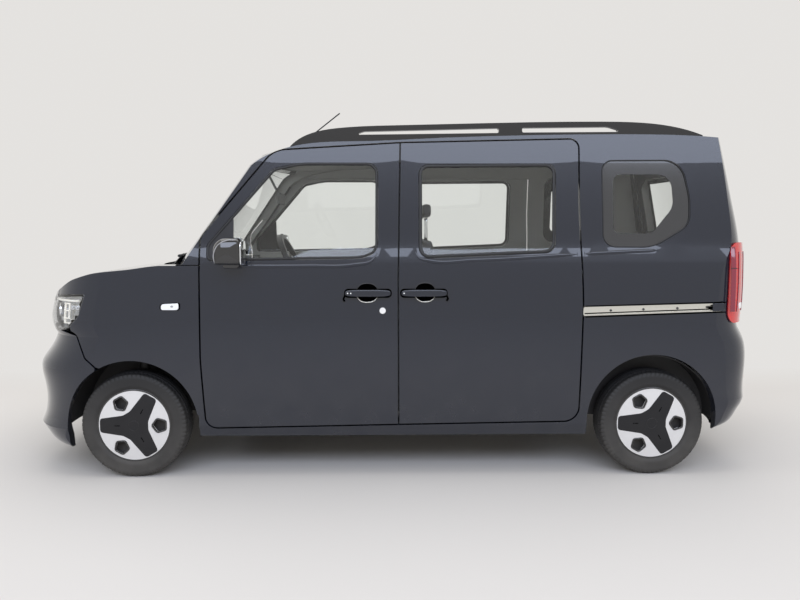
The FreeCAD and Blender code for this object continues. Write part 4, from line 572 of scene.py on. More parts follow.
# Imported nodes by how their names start; a later row wins
NODE_FINISHES = (
    (PAINTED, ("roof_panel", "side_frames", "sills", "quarter", "front_fender", "front_bumper", "bonnet",
               "rear_bumper", "tailgate", "sliding_door", "front_door", "door_handle")),
    (GLOSS_BLACK, ("roof_rails", "door_mirror")),
    (BRIGHT, ("door_tracks",)),
    (CLEAR_GLASS, ("windscreen", "side_glass", "tailgate_glass", "door_glass")),
    (RED_LENS, ("tail_lamps",)),
    (LAMP_LENS, ("headlamps",)),
    (SEAT_CLOTH, ("seat_cushions", "seat_backs")),
    (WHITE_LENS, ("side_repeaters",)),
    (MATT_BLACK, ("wheel_houses", "wipers", "antenna", "front_bulkhead")),
    (STEEL, ("front_suspension", "rear_axle", "rear_springs", "battery_pack", "knuckle", "rim_")),
    (WHITE_COVER, ("wheel_cover",)),
    (CAST, ("drive_motor",)),
    (CARPET, ("floor_pan",)),
    (GREY_TRIM, ("dashboard", "interior_mirror", "inner_pillars")),
    (SATIN_BLACK, ("steering_wheel",)),
    (RUBBER, ("tyre_",)),
)
for material, starts in NODE_FINISHES:
    for name in nodes:
        if name.startswith(starts):
            nodes[name].data.materials.clear()
            nodes[name].data.materials.append(material)


# Wheels

AXLES = (("front", -1.274), ("rear", 1.326))
AXLE_Z = 0.266
HALF_TRACK = 0.6775
TYRE_RADIUS = 0.266
TYRE_HALF = 0.0775
TYRE_STEPS_ROUND = 504
BEAD_RADIUS = 0.1790
BEAD_HALF = 0.0642
TREAD_DROP = 0.009
TREAD_BLOCKS = 72
TREAD_GROOVES = (-0.62, -0.2, 0.2, 0.62)
GROOVE_DEPTH = 0.007
SIPE_DEPTH = 0.0045
FINE_SIPE_DEPTH = 0.003
NOTCH_DEPTH = 0.0022
WALL_RIB = 0.0013
COVER_RADIUS = 0.178
RIM_FACE = 0.063
COVER_CROWN = 0.012
COVER_WALL = 0.005
STAR_RISE = 0.0014
SLOT_RISE = 0.0016
SLOT_RADIUS = 0.082
WINDOW_RADIUS = 0.127
WINDOW_REACH = 0.036 * 1.06
THIRDS = 2 * np.pi / 3 * np.arange(3)


def on_wheel(flat, centre, out, y):
    """Places round the axle on a wheel's outer side, y out from its middle."""
    return with_y(flat, out * y) + centre


def tyre_surface(centre, out):
    """Tyre skin: r(s, t) and y(s) from a bowed side wall and a crowned tread, less grooves cut in r.

    s runs from the inner bead over the tread to the outer bead. Grooves run round the tread at four offsets,
    and slanted sipes cross it at every block.
    """
    wall = np.linspace(0, 1, 22)
    tread = np.linspace(-1, 1, 53)
    wall_r = BEAD_RADIUS + (TYRE_RADIUS - TREAD_DROP - BEAD_RADIUS) * wall
    wall_y = BEAD_HALF + 0.0125 * np.sin(np.pi * wall ** 0.85) ** 0.8 + 0.006 * wall
    ribs = WALL_RIB * (np.cos(wall * 2 * np.pi * 7) > 0.6) * (wall > 0.15) * (wall < 0.86)
    wall_y = np.minimum(wall_y + ribs, TYRE_HALF - 0.0004)
    edge_y = wall_y[-1]
    tread_r = TYRE_RADIUS - TREAD_DROP * np.abs(tread) ** 4.5
    r = np.concatenate([wall_r, tread_r[1:-1], wall_r[::-1]])
    y = np.concatenate([-wall_y, tread[1:-1] * edge_y, wall_y[::-1]])
    angle = round_angles(TYRE_STEPS_ROUND)[:, None]
    across = y[None, :] / edge_y
    round_grooves = np.max([np.exp(-((across - place) / 0.055) ** 4) for place in TREAD_GROOVES], axis=0)
    phase = angle * TREAD_BLOCKS / (2 * np.pi) + 0.7 * np.abs(across)
    sipes = (np.abs((phase % 1) - 0.5) > 0.40) * (np.abs(across) > 0.68)
    fine = (np.abs(((phase * 2) % 1) - 0.5) > 0.42) * (np.abs(across) < 0.6) * (np.abs(across) > 0.26)
    on_tread = r > TYRE_RADIUS - TREAD_DROP - 0.0003
    radius = r - on_tread * (GROOVE_DEPTH * round_grooves + SIPE_DEPTH * sipes + FINE_SIPE_DEPTH * fine)
    shoulder = np.concatenate([wall > 0.84, np.zeros(len(tread) - 2, bool), wall[::-1] > 0.84])
    notch = shoulder * (np.abs((phase % 1) - 0.5) > 0.30)
    flat = np.stack([radius * np.cos(angle), radius * np.sin(angle)], -1)
    points = on_wheel(flat, centre, out, y - np.sign(y) * NOTCH_DEPTH * notch)
    points[..., 2] = np.maximum(points[..., 2], 0.0004)
    return grid(points, wrap_u=True)


def cover_y(flat):
    """How far out the wheel cover's face stands at places round the axle: flat, then sloping to its edge."""
    r = np.linalg.norm(flat, axis=-1)
    return RIM_FACE + COVER_CROWN - (COVER_CROWN - COVER_WALL) * np.clip(2 * r / COVER_RADIUS - 1, 0, 1)


def star_outline():
    """Three arms a third of a turn apart, each tapering to a blunt rounded tip, the waists between hollow."""
    reach, tip, root, waist = 0.955, 0.195, 0.290, 0.300
    arm = np.array([(waist, -root), (reach, -tip), (reach, tip), (waist, root)])
    corners = [arm @ np.array([(np.cos(turn), np.sin(turn)), (-np.sin(turn), np.cos(turn))])
               for turn in np.pi + THIRDS]
    return rounded_outline(np.concatenate(corners), [0.22, 0.085, 0.085, 0.22] * 3, per_arc=9) * COVER_RADIUS


def raised_plate(outline, centre, out, thickness, rings):
    """A plate on the wheel cover: point = (share * outline, face height + thickness), with a rounded rim."""
    flat = plate_rings(outline, rings)
    lift = np.concatenate([np.full(rings, 1.0), [0.85, 0.4, -0.8]])
    return grid(on_wheel(flat, centre, out, cover_y(flat) + thickness * lift[:, None]), wrap_v=True)


def flat_ring(outline, centre, out, y, width, rise):
    """A raised lip along an outline on a wheel's outer side."""
    return carried(on_wheel(outline, centre, out, y), ring_section(width, rise, 2.6, 12), (0, out, 0))


def window_outline(turn):
    """One five-sided window of the cover, with its flat side outwards."""
    t = turn + 2 * np.pi * (np.arange(5) + 0.5) / 5
    middle = WINDOW_RADIUS * np.array([np.cos(turn), np.sin(turn)])
    return rounded_outline(middle + WINDOW_REACH * np.stack([np.cos(t), np.sin(t)], -1), 0.012, per_arc=6)


def slot_face(turn, centre, out):
    """A flat black face in the middle of one arm of the star: painted shade for the dark inside of a slot."""
    along = np.array([np.cos(turn), np.sin(turn)])
    across = np.array([-along[1], along[0]])
    bar = ring_section(0.027, 0.0045, 5.0, 20)
    outline = SLOT_RADIUS * along + bar[:, :1] * along + bar[:, 1:] * across
    ring = on_wheel(outline, centre, out, cover_y(outline) + SLOT_RISE)
    return grid([np.broadcast_to(ring.mean(0), ring.shape), ring], wrap_v=True)


STAR = resampled(star_outline(), 210, True)
HOOP = oval(0.0, 0.0, 1.0, 1.0, 120)
BOSS = HOOP[::3] * 0.026

for axle, axle_x in AXLES:
    for side, sign in SIDES:
        wheel = f"{axle}_{side}"
        body = f"wheel_{wheel}"
        centre = np.array([axle_x, sign * HALF_TRACK, AXLE_Z])
        piece(f"tyre_tread_{wheel}", tyre_surface(centre, sign), body, "tyre_rubber", RUBBER,
              replaces=(f"tyre_{wheel}",))
        piece(f"cover_star_{wheel}", raised_plate(STAR, centre, sign, STAR_RISE, 20), body, "gloss_black",
              SATIN_BLACK, flat_deg=50)
        windows = [window_outline(turn) for turn in THIRDS]
        lips = [flat_ring(window, centre, sign, cover_y(window), 0.009, 0.007) for window in windows]
        lips.append(flat_ring(HOOP * (COVER_RADIUS + 0.0015), centre, sign, RIM_FACE + 0.0025, 0.011,
                              0.0075))
        lips.append(flat_ring(BOSS, centre, sign, cover_y(BOSS) + STAR_RISE, 0.0012, 0.0016))
        piece(f"cover_lips_{wheel}", stack(lips), body, "gloss_black", MIRROR_BLACK)
        # Flat black faces over the star's arms: painted shade for the slots in the cover.
        slot_shades = [slot_face(turn, centre, sign) for turn in np.pi + THIRDS]
        piece(f"cover_slots_{wheel}", stack(slot_shades), body, "gloss_black", DEEP_SHADE)


# Windows: rubber seals, painted borders and mirror corners

SCREEN_WAY = np.array([-0.805, 0.0, 0.593])
REAR_WAY = np.array([0.985, 0.0, 0.17])
GLASS_SINK = 0.007
FRIT_LIFT = 0.0010
BORDER_FOOT = -0.001
QUARTER_CLEAR = resampled(rounded_outline([(1.112, 1.221), (1.304, 1.221), (1.411, 1.351), (1.399, 1.512),
                                           (1.112, 1.512)], [0.034, 0.060, 0.090, 0.070, 0.034], per_arc=9),
                          200, True)
MIRROR_CORNER = rounded_outline([(-0.894, 1.086), (-0.762, 1.086), (-0.762, 1.318), (-0.894, 1.168)], 0.012,
                                per_arc=5)


def inset(loop, way, distance):
    """A border moved into its patch, square to its own direction and to the way the patch looks."""
    tangent = np.roll(loop, -1, 0) - np.roll(loop, 1, 0)
    inward = np.cross(np.asarray(way, float), tangent)
    return loop + distance * inward / np.maximum(np.linalg.norm(inward, axis=1, keepdims=True), 1e-9)


def seal_round(loop, way, width, height, lift, count=120):
    """A rubber band that lies inside a border and stands a little over the glass."""
    way = np.asarray(way, float) / np.linalg.norm(way)
    path = inset(resampled(loop, count, True), way, width / 2)
    return carried(path + way * lift, ring_section(width, height, 3.0, 12), way)


def reach_at(loop, middle, angles):
    """How far a closed (x, z) loop lies from a point, at each angle round that point."""
    x, z = (loop - middle).T
    angle = np.arctan2(z, x)
    order = np.argsort(angle)
    return np.interp(angles, angle[order], np.hypot(x, z)[order], period=2 * np.pi)


def painted_border(outer, inner, sink, lift):
    """The painted border of a side pane: a band from its edge to the clear outline, both (x, z) loops.

    point = middle + (cos a, sin a) * reach, with the reach blended from the outer loop to the inner one.
    """
    middle = inner.mean(0)
    angles = round_angles(240) - np.pi
    share = np.array([0.0, 0.0, 0.25, 0.5, 0.75, 1.0, 1.0])[:, None]
    rise = np.array([BORDER_FOOT, lift, lift, lift, lift, lift, BORDER_FOOT])[:, None]
    reach = reach_at(outer, middle, angles) * (1 - share) + reach_at(inner, middle, angles) * share
    flat = middle + reach[..., None] * np.stack([np.cos(angles), np.sin(angles)], -1)
    return grid(with_y(flat, -(skin(flat[..., 1]) - sink + rise)), wrap_v=True)


for side, sign in SIDES:
    way = (0.0, sign, 0.0)
    pane = outer_borders(f"door_glass_{side}", way)[0]
    piece(f"door_window_seal_{side}", seal_round(pane, way, 0.013, 0.011, 0.0025), DOOR.format(side),
          "black_plastic", SEAL)
    panes = outer_borders("side_glass", way, keep=lambda middles: sign * middles[:, 1] > 0.4)[:2]
    sliding, quarter = sorted(panes, key=lambda loop: loop[:, 0].mean())
    piece(f"sliding_window_seal_{side}", seal_round(sliding, way, 0.017, 0.011, 0.0025, 150), "body",
          "black_plastic", SEAL)
    border = painted_border(resampled(quarter, 400, True)[:, [0, 2]], QUARTER_CLEAR, GLASS_SINK, FRIT_LIFT)
    piece(f"quarter_window_border_{side}", on_side(border, sign), "body", "gloss_black", FRIT, flat_deg=40)
    piece(f"quarter_window_seal_{side}", seal_round(quarter, way, 0.006, 0.010, 0.002), "body",
          "black_plastic", SEAL)
both("mirror_corner", side_plate(MIRROR_CORNER, -0.0035), DOOR, "black_plastic", MATT_BLACK)
screen_edge = outer_borders("windscreen", SCREEN_WAY, 0.7)[0]
piece("windscreen_border", seal_round(screen_edge, SCREEN_WAY, 0.030, 0.006, 0.0005, 200), "body",
      "black_plastic", SCREEN)
rear_edge = outer_borders("tailgate_glass", REAR_WAY, 0.6)[0]
piece("tailgate_window_border", seal_round(rear_edge, REAR_WAY, 0.026, 0.007, 0.0010, 160), "tailgate_body",
      "black_plastic", SCREEN)


# Body sides: belt crease, handles and lock

BELT_SECTION = ring_section(0.021, 0.011, 2.0, 14)
BELTS = (("front", DOOR, 60,
          [(-0.740, 1.062), (-0.400, 1.063), (-0.170, 1.069), (-0.085, 1.088), (-0.058, 1.122)]),
         ("sliding", "body", 80,
          [(0.128, 1.135), (0.145, 1.103), (0.200, 1.087), (0.420, 1.090), (0.930, 1.118)]),
         ("quarter", "body", 30, [(0.966, 1.120), (1.150, 1.129), (1.330, 1.137)]))
BAR_Z = 0.931
BAR_Y = -0.797
BAR_FACE = 0.804
BAR_SIZE = (0.222, 0.014, 0.034)
FOOT_Y = -0.782
FOOT_SIZE = (0.022, 0.028, 0.022)
FOOT_REACH = 0.072
CUP_HALF_Z = 0.048
DOT_RADIUS = 0.0035
LOCK_RADIUS = 0.0155
# Name, body, replaced node, bar x, cup (x, z, half length), dots from the bar's middle, lever x and its way
HANDLES = (("front", DOOR, "door_handle_{}", -0.104, (-0.1075, 0.929, 0.054),
            (-0.098, -0.083), -0.214, -1.0),
           ("rear", "body", "sliding_door_handles", 0.171, (0.177, 0.931, 0.052), (-0.098,), 0.279, 1.0))


def lever(x, z, way):
    """The small hooked end of a handle's link, below its bar."""
    hook = [(x, z), (x + 0.004 * way, z - 0.014), (x + 0.010 * way, z - 0.030), (x + 0.004 * way, z - 0.040)]
    return side_strip(curve_through(hook, 16), ring_section(0.009, 0.010, 3.0, 10), 0.008, 16)


for name, body, count, line in BELTS:
    strip = side_strip(curve_through(line, count), BELT_SECTION, -0.001, count)
    both(f"belt_crease_{name}", tapered(strip, count, len(BELT_SECTION), 0.12), body, "body_paint", PAINTED)
for name, body, node, bar_x, (cup_x, cup_z, cup_half), dots, lever_x, way in HANDLES:
    cup = oval(cup_x, cup_z, cup_half, CUP_HALF_Z, 48, 0.8)
    # The cup is a flat black plate on the skin: painted shade standing in for the dark hollow behind the
    # handle.
    both(f"handle_cup_{name}", side_plate(cup, 0.0005), body, "gloss_black", DEEP_SHADE)
    # A flat black plate a little larger than the bar, laid on the skin behind it: a painted shadow that
    # outlines the bar.
    bar_shadow = rounded_rectangle(bar_x - 0.117, bar_x + 0.117, BAR_Z - 0.025, BAR_Z + 0.020, 0.020)
    both(f"handle_gap_{name}", side_plate(bar_shadow, 0.0012), body, "gloss_black", DEEP_SHADE)
    bar = [rounded_box((bar_x, BAR_Y, BAR_Z), BAR_SIZE, 4.0, 16)]
    bar += [rounded_box((bar_x + x, FOOT_Y, BAR_Z), FOOT_SIZE, 4.0, 8) for x in (-FOOT_REACH, FOOT_REACH)]
    both(f"handle_bar_{name}", stack(bar), body, "body_paint", PAINTED, replaces=(node,))
    for k, x in enumerate(dots):
        spot = oval(bar_x + x, BAR_Z, DOT_RADIUS, DOT_RADIUS)
        dot = side_plate(spot, BAR_FACE - skin(BAR_Z) - 0.0015, rings=3)
        both(f"handle_dot_{name}_{k}", dot, body, "bright_metal", LOCK_WHITE)
    lip = side_strip(cup, ring_section(0.004, 0.006, 2.0, 8), 0.001, 72, closed=True)
    both(f"handle_lip_{name}", lip, body, "gloss_black", GLOSS_BLACK)
    # A bright metal strip along the cup's lower lip: a painted highlight for the light that the lip catches.
    shine = side_strip(cup[26:46] + (0, 0.003), ring_section(0.0050, 0.005, 2.0, 10), 0.002, 30)
    both(f"handle_shine_{name}", tapered(shine, 30, 10, 0.25), body, "bright_metal", BRIGHT)
    both(f"handle_lever_{name}", lever(lever_x, cup_z, way), body, "black_plastic", DEEP_SHADE)
lock = side_plate(oval(-0.032, 0.8427, LOCK_RADIUS, LOCK_RADIUS, 40), 0.0008, 0.0022)
both("lock_cylinder", lock, DOOR, "bright_metal", LOCK_WHITE)


# Headlamps: clear lens, bright housing, light bar, bracket element, bulbs and projector

LAMP_AXIS = np.array([-1.500, -0.470, 0.0])
PROJECTOR_WAY = np.array([-1.0, -0.22, 0.0])
BULB_WAY = (-0.3, -1.0, 0.0)
BULB_SIZE = (0.016, 0.016, 0.016)
# First and last turn, first and last height, steps, depth behind the lens, thickness
LAMP_BARS = [((6, 96), (0.889, 0.889), 60, 0.012, 0.010),
             ((31, 31), (0.872, 0.775), 24, 0.020, 0.009),
             ((24, 24), (0.872, 0.800), 24, 0.026, 0.007)]
LAMP_BARS += [((21, 33), (z, z), 16, 0.020, 0.007) for z in (0.872, 0.838, 0.800, 0.776)]


def patch_mesh(points, faces):
    """A patch's own points and faces, without the points it doesn't use."""
    used, index = np.unique(faces, return_inverse=True)
    return points[used], index.reshape(faces.shape)


def cast(tree, start, way):
    """Where a ray first meets a surface, or None."""
    hit = tree.ray_cast(list(map(float, start)), list(map(float, way)), 4.0)[0]
    return None if hit is None else np.array(hit)


def tree_of(points, faces):
    """A surface that rays can be cast at."""
    return BVHTree.FromPolygons(points.tolist(), faces.tolist())


lamp_points, lamp_faces, lamp_centres, lamp_normals = cad_triangles("headlamps")
on_left = lamp_centres[:, 1] < 0
outward = lamp_normals @ np.array([-0.7, -0.7, 0.0]) > 0.25
LENS = patch_mesh(lamp_points, lamp_faces[on_left & outward])
HOUSING = patch_mesh(lamp_points, lamp_faces[on_left & ~outward])
LENS_TREE = tree_of(*LENS)


def lamp_place(turn_deg, z, depth):
    """A place behind the left lens, or None beside it: turn 0 looks to the side and 90 to the front."""
    turn = math.radians(turn_deg)
    way = np.array([-math.sin(turn), -math.cos(turn), 0.0])
    hit = cast(LENS_TREE, LAMP_AXIS + (0.0, 0.0, z) + way, -way)
    return None if hit is None else hit - way * depth


def lamp_bar(turns, heights, count, depth, thick):
    """A bar behind the lens between two places given by turn and height, as far as the lens reaches."""
    path = [lamp_place(turn, z, depth)
            for turn, z in zip(np.linspace(*turns, count), np.linspace(*heights, count))]
    path = np.array([place for place in path if place is not None])
    outwards = (path - LAMP_AXIS).mean(0) * (1, 1, 0)
    return carried(resampled(path, 40, False), ring_section(thick, thick), outwards, False)


def dome(centre, way, radius, bulge):
    """A round lens: its height over its rim is bulge * (1 - (r / radius)^2)."""
    way, side, up = square_to(way)
    r = np.linspace(0.0, 1.0, 10)[:, None, None] * radius
    t = round_angles(48)[None, :, None]
    front = centre + r * np.cos(t) * side + r * np.sin(t) * up + bulge * (1 - (r / radius) ** 2) * way
    back = way * radius * 0.3
    return grid(np.concatenate([front, front[-1:] - back, front[:1] - back - way * bulge]), wrap_v=True)


lamp_bulbs, lamp_rings = [], []
for turn in (17.0, 9.5):
    place = lamp_place(turn, 0.856, 0.022)
    lamp_bulbs.append(rounded_box(place, BULB_SIZE, 2.0, 8))
    lamp_rings.append(ring_round(place, BULB_WAY, 0.011, ring_section(0.004, 0.006)))
projector = lamp_place(72.0, 0.826, 0.045)
lamp_bulbs.append(dome(projector, PROJECTOR_WAY, 0.030, 0.012))
lamp_rings.append(ring_round(projector, PROJECTOR_WAY, 0.034, ring_section(0.008, 0.014)))

both("headlamp_lens", LENS, "body", "lamp_clear", LAMP_LENS, replaces=("headlamps",), wall=0.0025)
both("headlamp_housing", HOUSING, "body", "gloss_black", LAMP_CHROME, replaces=("headlamps",), flat_deg=40,
     wall=0.001)
both("headlamp_light_bar", stack([lamp_bar(*row) for row in LAMP_BARS]), "body", "lamp_clear", LIGHT_BAR)
both("headlamp_bulbs", stack(lamp_bulbs), "body", "lamp_clear", WHITE_LENS)
both("headlamp_bezels", stack(lamp_rings), "body", "bright_metal", CHROME)


# Cowl under the windscreen, intake panel with painted shade, mirrors and side repeaters

SCREEN_FOOT_X = -1.1921
SCREEN_FOOT_Z = 1.0159
SCREEN_RAKE = 0.7372
SCREEN_BOW = 0.108
INTAKE_X = -1.838
INTAKE_BOW = 0.139
MIRROR_Y = -0.850
MIRROR_HALF_DEPTH = 0.075
MIRROR_GLASS_X = -0.6975
MIRROR_FACE = rounded_rectangle(-0.833, -0.696, 1.072, 1.203, [0.022, 0.014, 0.022, 0.085], per_arc=9)
MIRROR_PANE = rounded_rectangle(-0.906, -0.776, 1.070, 1.188, 0.030)
MIRROR_ARC = [(-0.818, 1.082), (-0.822, 1.120), (-0.800, 1.168), (-0.758, 1.190), (-0.708, 1.192)]
REPEATER = rounded_outline([(-1.1160, 0.8480), (-1.0300, 0.8480), (-1.0300, 0.8815), (-1.1160, 0.8770)],
                           [0.010, 0.012, 0.008, 0.016])


def screen_x(y, z):
    """The windscreen's place along the vehicle: foot + rake * height + bow * (y / half width)^2."""
    return SCREEN_FOOT_X + SCREEN_RAKE * (z - SCREEN_FOOT_Z) + SCREEN_BOW * (y / BODY_HALF_WIDTH) ** 2


def bowed_sheet(x, y, z):
    """A sheet over a grid of y and z, with its x given there."""
    return grid(np.stack(np.broadcast_arrays(x, y, z), -1))


y = np.linspace(-0.600, 0.600, 60)[:, None]
z = np.array([1.098, 1.092, 1.078, 1.064, 1.054, 1.046, 1.040, 1.030])
ahead = np.array([-0.001, 0.0012, 0.0012, 0.0012, 0.003, 0.010, 0.016, 0.018])
cowl = bowed_sheet(screen_x(y, z) - ahead, y, z)
piece("cowl_panel", cowl, "body", "black_plastic", MATT_BLACK, flat_deg=40, wall=0.0012)
# A plain matt black sheet behind the bumper's slots: partly the intake's own panel, partly painted shade
# inside the intake.
y = np.linspace(-0.350, 0.350, 30)[:, None]
intake = bowed_sheet(INTAKE_X + INTAKE_BOW * y ** 2, y, np.linspace(0.236, 0.398, 8))
piece("intake_mesh", intake, "body", "black_plastic", MATT_BLACK, wall=0.002)

t = np.linspace(-1, 1, 25)[:, None]
middle = MIRROR_FACE.mean(0)
flat = middle + ((1 - np.abs(t) ** 3.6) ** (1 / 3.6))[..., None] * (MIRROR_FACE - middle)
foot = rounded_box((-0.7645, -0.7855, 1.074), (0.081, 0.059, 0.044), 5.0)
housing = stack([grid(with_y(flat, MIRROR_Y + MIRROR_HALF_DEPTH * t), wrap_v=True), foot])
both("door_mirror_housing", housing, DOOR, "gloss_black", MIRROR_BLACK,
     replaces=("door_mirror_{}",))
arc = np.insert(curve_through(MIRROR_ARC, 40), 1, -0.9165, axis=1)
rim = tapered(carried(arc, ring_section(0.0055, 0.005, 2.0, 12), LEFTWARDS, False), 40, 12, 0.15)
both("door_mirror_rim", rim, DOOR, "bright_metal", RAIL_GREY)
middle = MIRROR_PANE.mean(0)
flat = middle + np.array([0.0, 0.5, 0.96, 1.0, 1.0])[:, None, None] * (MIRROR_PANE - middle)
back = MIRROR_GLASS_X + np.array([0.0012, 0.0012, 0.0012, 0.0006, -0.004])[:, None] + 0 * flat[..., 0]
pane = grid(np.concatenate([back[..., None], flat], -1), wrap_v=True)
both("door_mirror_glass", pane, DOOR, "mirror_glass", MIRROR)

surround = REPEATER.mean(0) + 1.16 * (REPEATER - REPEATER.mean(0))
both("side_repeater_gap", side_plate(surround, 0.0002), "body", "black_plastic", DEEP_SHADE)
both("side_repeater_lens", side_plate(REPEATER, 0.0, 0.0075), "body", "lamp_clear", WHITE_LENS,
     replaces=("side_repeaters",))
both("side_repeater_bulb", side_plate(oval(-1.062, 0.8655, 0.007, 0.005), 0.0066, rings=3), "body",
     "lamp_clear", RAIL_GREY)


# Slide channel of the rear doors: screws, seams, end cap, and a black plate at the fork painted as the shade
# in its notch

CHANNEL_SCREWS = ((1.102, 0.8400), (1.265, 0.8450), (1.435, 0.8500))
CHANNEL_SEAMS = (([(0.972, 0.8625), (1.672, 0.8815)], 0.0004),
                 ([(0.972, 0.8085), (1.672, 0.8320)], 0.0004),
                 ([(0.972, 0.8245), (1.600, 0.8455)], -0.0140))
CHANNEL_CAP = rounded_outline([(1.606, 0.8360), (1.664, 0.8375), (1.664, 0.8765), (1.606, 0.8750)], 0.004,
                              per_arc=4)
CHANNEL_NOTCH_SHADE = rounded_rectangle(1.583, 1.607, 0.8480, 0.8600, 0.005, per_arc=4)

screws = [ring_round(np.array([x, -(skin(z) - 0.0145), z]), LEFTWARDS, 0.0035, ring_section(0.005, 0.004))
          for x, z in CHANNEL_SCREWS]
both("slide_channel_screws", stack(screws), "body", "bright_metal", STEEL)
seams = [side_strip(line, ring_section(0.0055, 0.0016, 2.0, 10), lift, 30) for line, lift in CHANNEL_SEAMS]
both("slide_channel_seams", stack(seams), "body", "black_plastic", DEEP_SHADE)
both("slide_channel_cap", side_plate(CHANNEL_CAP, -0.0004), "body", "body_paint", PAINTED)
# A black plate sunk into the channel at its fork: painted shade for the notch there.
both("slide_channel_fork", side_plate(CHANNEL_NOTCH_SHADE, -0.0014), "body", "black_plastic", DEEP_SHADE)


# Rear: tail lamps, reflectors, tailgate handle and a blank plate

TAILGATE, TAIL_LAMPS, REAR_BUMPER = (tree_of(*cad_triangles(name)[:2])
                                     for name in ("tailgate", "tail_lamps", "rear_bumper"))
LAMP_WAY = (0.8, -0.6, 0.0)
PLATE_Z = 0.835


def laid_strip(tree, y0, z0, y1, z1, section, up, lift=0.0005):
    """A section carried over the rear face of a node: places from one (y, z) to another, cast onto it."""
    places = zip(np.linspace(y0, y1, 24), np.linspace(z0, z1, 24))
    hits = [cast(tree, (2.5, y, z), FORWARDS) for y, z in places]
    path = np.array([hit for hit in hits if hit is not None]) + lift * np.asarray(up, float)
    return carried(path, section, up, False)


strip = side_strip([(1.7035, 0.835), (1.7035, 1.155)], ring_section(0.024, 0.0030, 4.0, 14), 0.0058, 30)
both("tail_lamp_strip", strip, "body", "lamp_red", DARK_RED_LENS)
notch = side_strip([(1.690, 1.049), (1.722, 1.049)], ring_section(0.004, 0.0030, 3.0, 10), 0.0065, 10)
both("tail_lamp_notch", notch, "body", "lamp_red", MATT_BLACK)
bands = [laid_strip(TAIL_LAMPS, y, 0.830, y, 1.130, ring_section(0.010, 0.006, 3.0, 14), LAMP_WAY)
         for y in (-0.664, -0.724)]
both("tail_lamp_bands", stack(bands), "body", "lamp_red", DARK_RED_LENS)
reverse = laid_strip(TAIL_LAMPS, -0.676, 0.858, -0.712, 0.858, ring_section(0.030, 0.005, 4.0, 16),
                     LAMP_WAY)
both("reversing_lamp", reverse, "body", "lamp_clear", WHITE_LENS)
reflector = laid_strip(REAR_BUMPER, -0.600, 0.480, -0.470, 0.480, ring_section(0.028, 0.008, 4.0, 16),
                       (1.0, -0.2, 0.0))
both("rear_reflector", reflector, "body", "lamp_red", RED_LENS)
pull = laid_strip(TAILGATE, -0.150, 0.985, 0.150, 0.985, ring_section(0.038, 0.022, 3.0, 20), BACKWARDS,
                  0.004)
piece("tailgate_handle", pull, "tailgate_body", "gloss_black", GLOSS_BLACK)
piece("plate_frame", rounded_box((1.846, 0.0, PLATE_Z), (0.008, 0.352, 0.182), 9.0), "tailgate_body",
      "black_plastic", MATT_BLACK)
piece("blank_plate", rounded_box((1.8495, 0.0, PLATE_Z), (0.004, 0.330, 0.165), 9.0), "tailgate_body",
      "black_plastic", LOCK_WHITE)


# Seats: pads blown up by cloth simulation, with seams pressed in, and posts under the head restraints

SEAT_LEAN = math.tan(math.radians(10.0))
SEAT_SWELL = 0.014
SWELL_LIMIT = 0.016
CLOTH_FRAMES = 20
CLOTH_SETTINGS = {"quality": 4, "use_pressure": True, "uniform_pressure_force": 4.0,
                  "tension_stiffness": 30.0, "compression_stiffness": 30.0, "shear_stiffness": 12.0}
SEAM_DEPTH = 0.006
SEAM_WIDTH = 0.010
SEAT_Y = 0.345
SEAT_HALF = 0.245
RESTRAINT_HALF = 0.130
POST_APART = 0.065
STEP_BACK_X = 0.8905
STEP_TOP_Z = 0.460
# How a pad's name starts: seams across it from its middle, another axis with its seams, its thin axis
SEAMS = {"front_cushion": ((-0.150, 0.150), 0, (-0.300, -0.130), 2),
         "front_back": ((-0.150, 0.150), 2, (0.640, 0.860, 1.050), 0),
         "rear_cushion": ((-0.300, 0.0, 0.300), 0, (0.640,), 2),
         "rear_back": ((-0.300, 0.0, 0.300), 2, (STEP_TOP_Z + 0.280,), 0)}


def pad(name, low, high, lean_from=None, power=7.0, steps=26):
    """A stuffed block a little smaller than its room; x grows by the lean times the height over its foot."""
    low, high = np.array(low), np.array(high)
    points, faces = rounded_box((low + high) / 2, high - low - 2 * SEAT_SWELL, power, steps)
    if lean_from is not None:
        points[:, 0] += (points[:, 2] - lean_from) * SEAT_LEAN
    pads.append(piece(name, (points, faces), "body", "seat_fabric", SEAT_CLOTH))


pads = []
for side, sign in SIDES:
    y0, y1 = sign * SEAT_Y - SEAT_HALF, sign * SEAT_Y + SEAT_HALF
    pad(f"front_cushion_{side}", (-0.490, y0, 0.431), (0.010, y1, 0.550))
    pad(f"front_back_{side}", (0.012, y0, 0.432), (0.120, y1, 1.208), lean_from=0.431)
    y0, y1 = sign * SEAT_Y - RESTRAINT_HALF, sign * SEAT_Y + RESTRAINT_HALF
    pad(f"head_restraint_{side}", (0.164, y0, 1.291), (0.239, y1, 1.387), power=4.5, steps=16)
pad("rear_cushion", (0.390, -0.590, 0.431), (0.890, 0.590, 0.550), steps=30)
pad("rear_back", (STEP_BACK_X, -0.560, STEP_TOP_Z + 0.001),
    (STEP_BACK_X + 0.108, 0.560, STEP_TOP_Z + 0.558), lean_from=STEP_TOP_Z, steps=30)


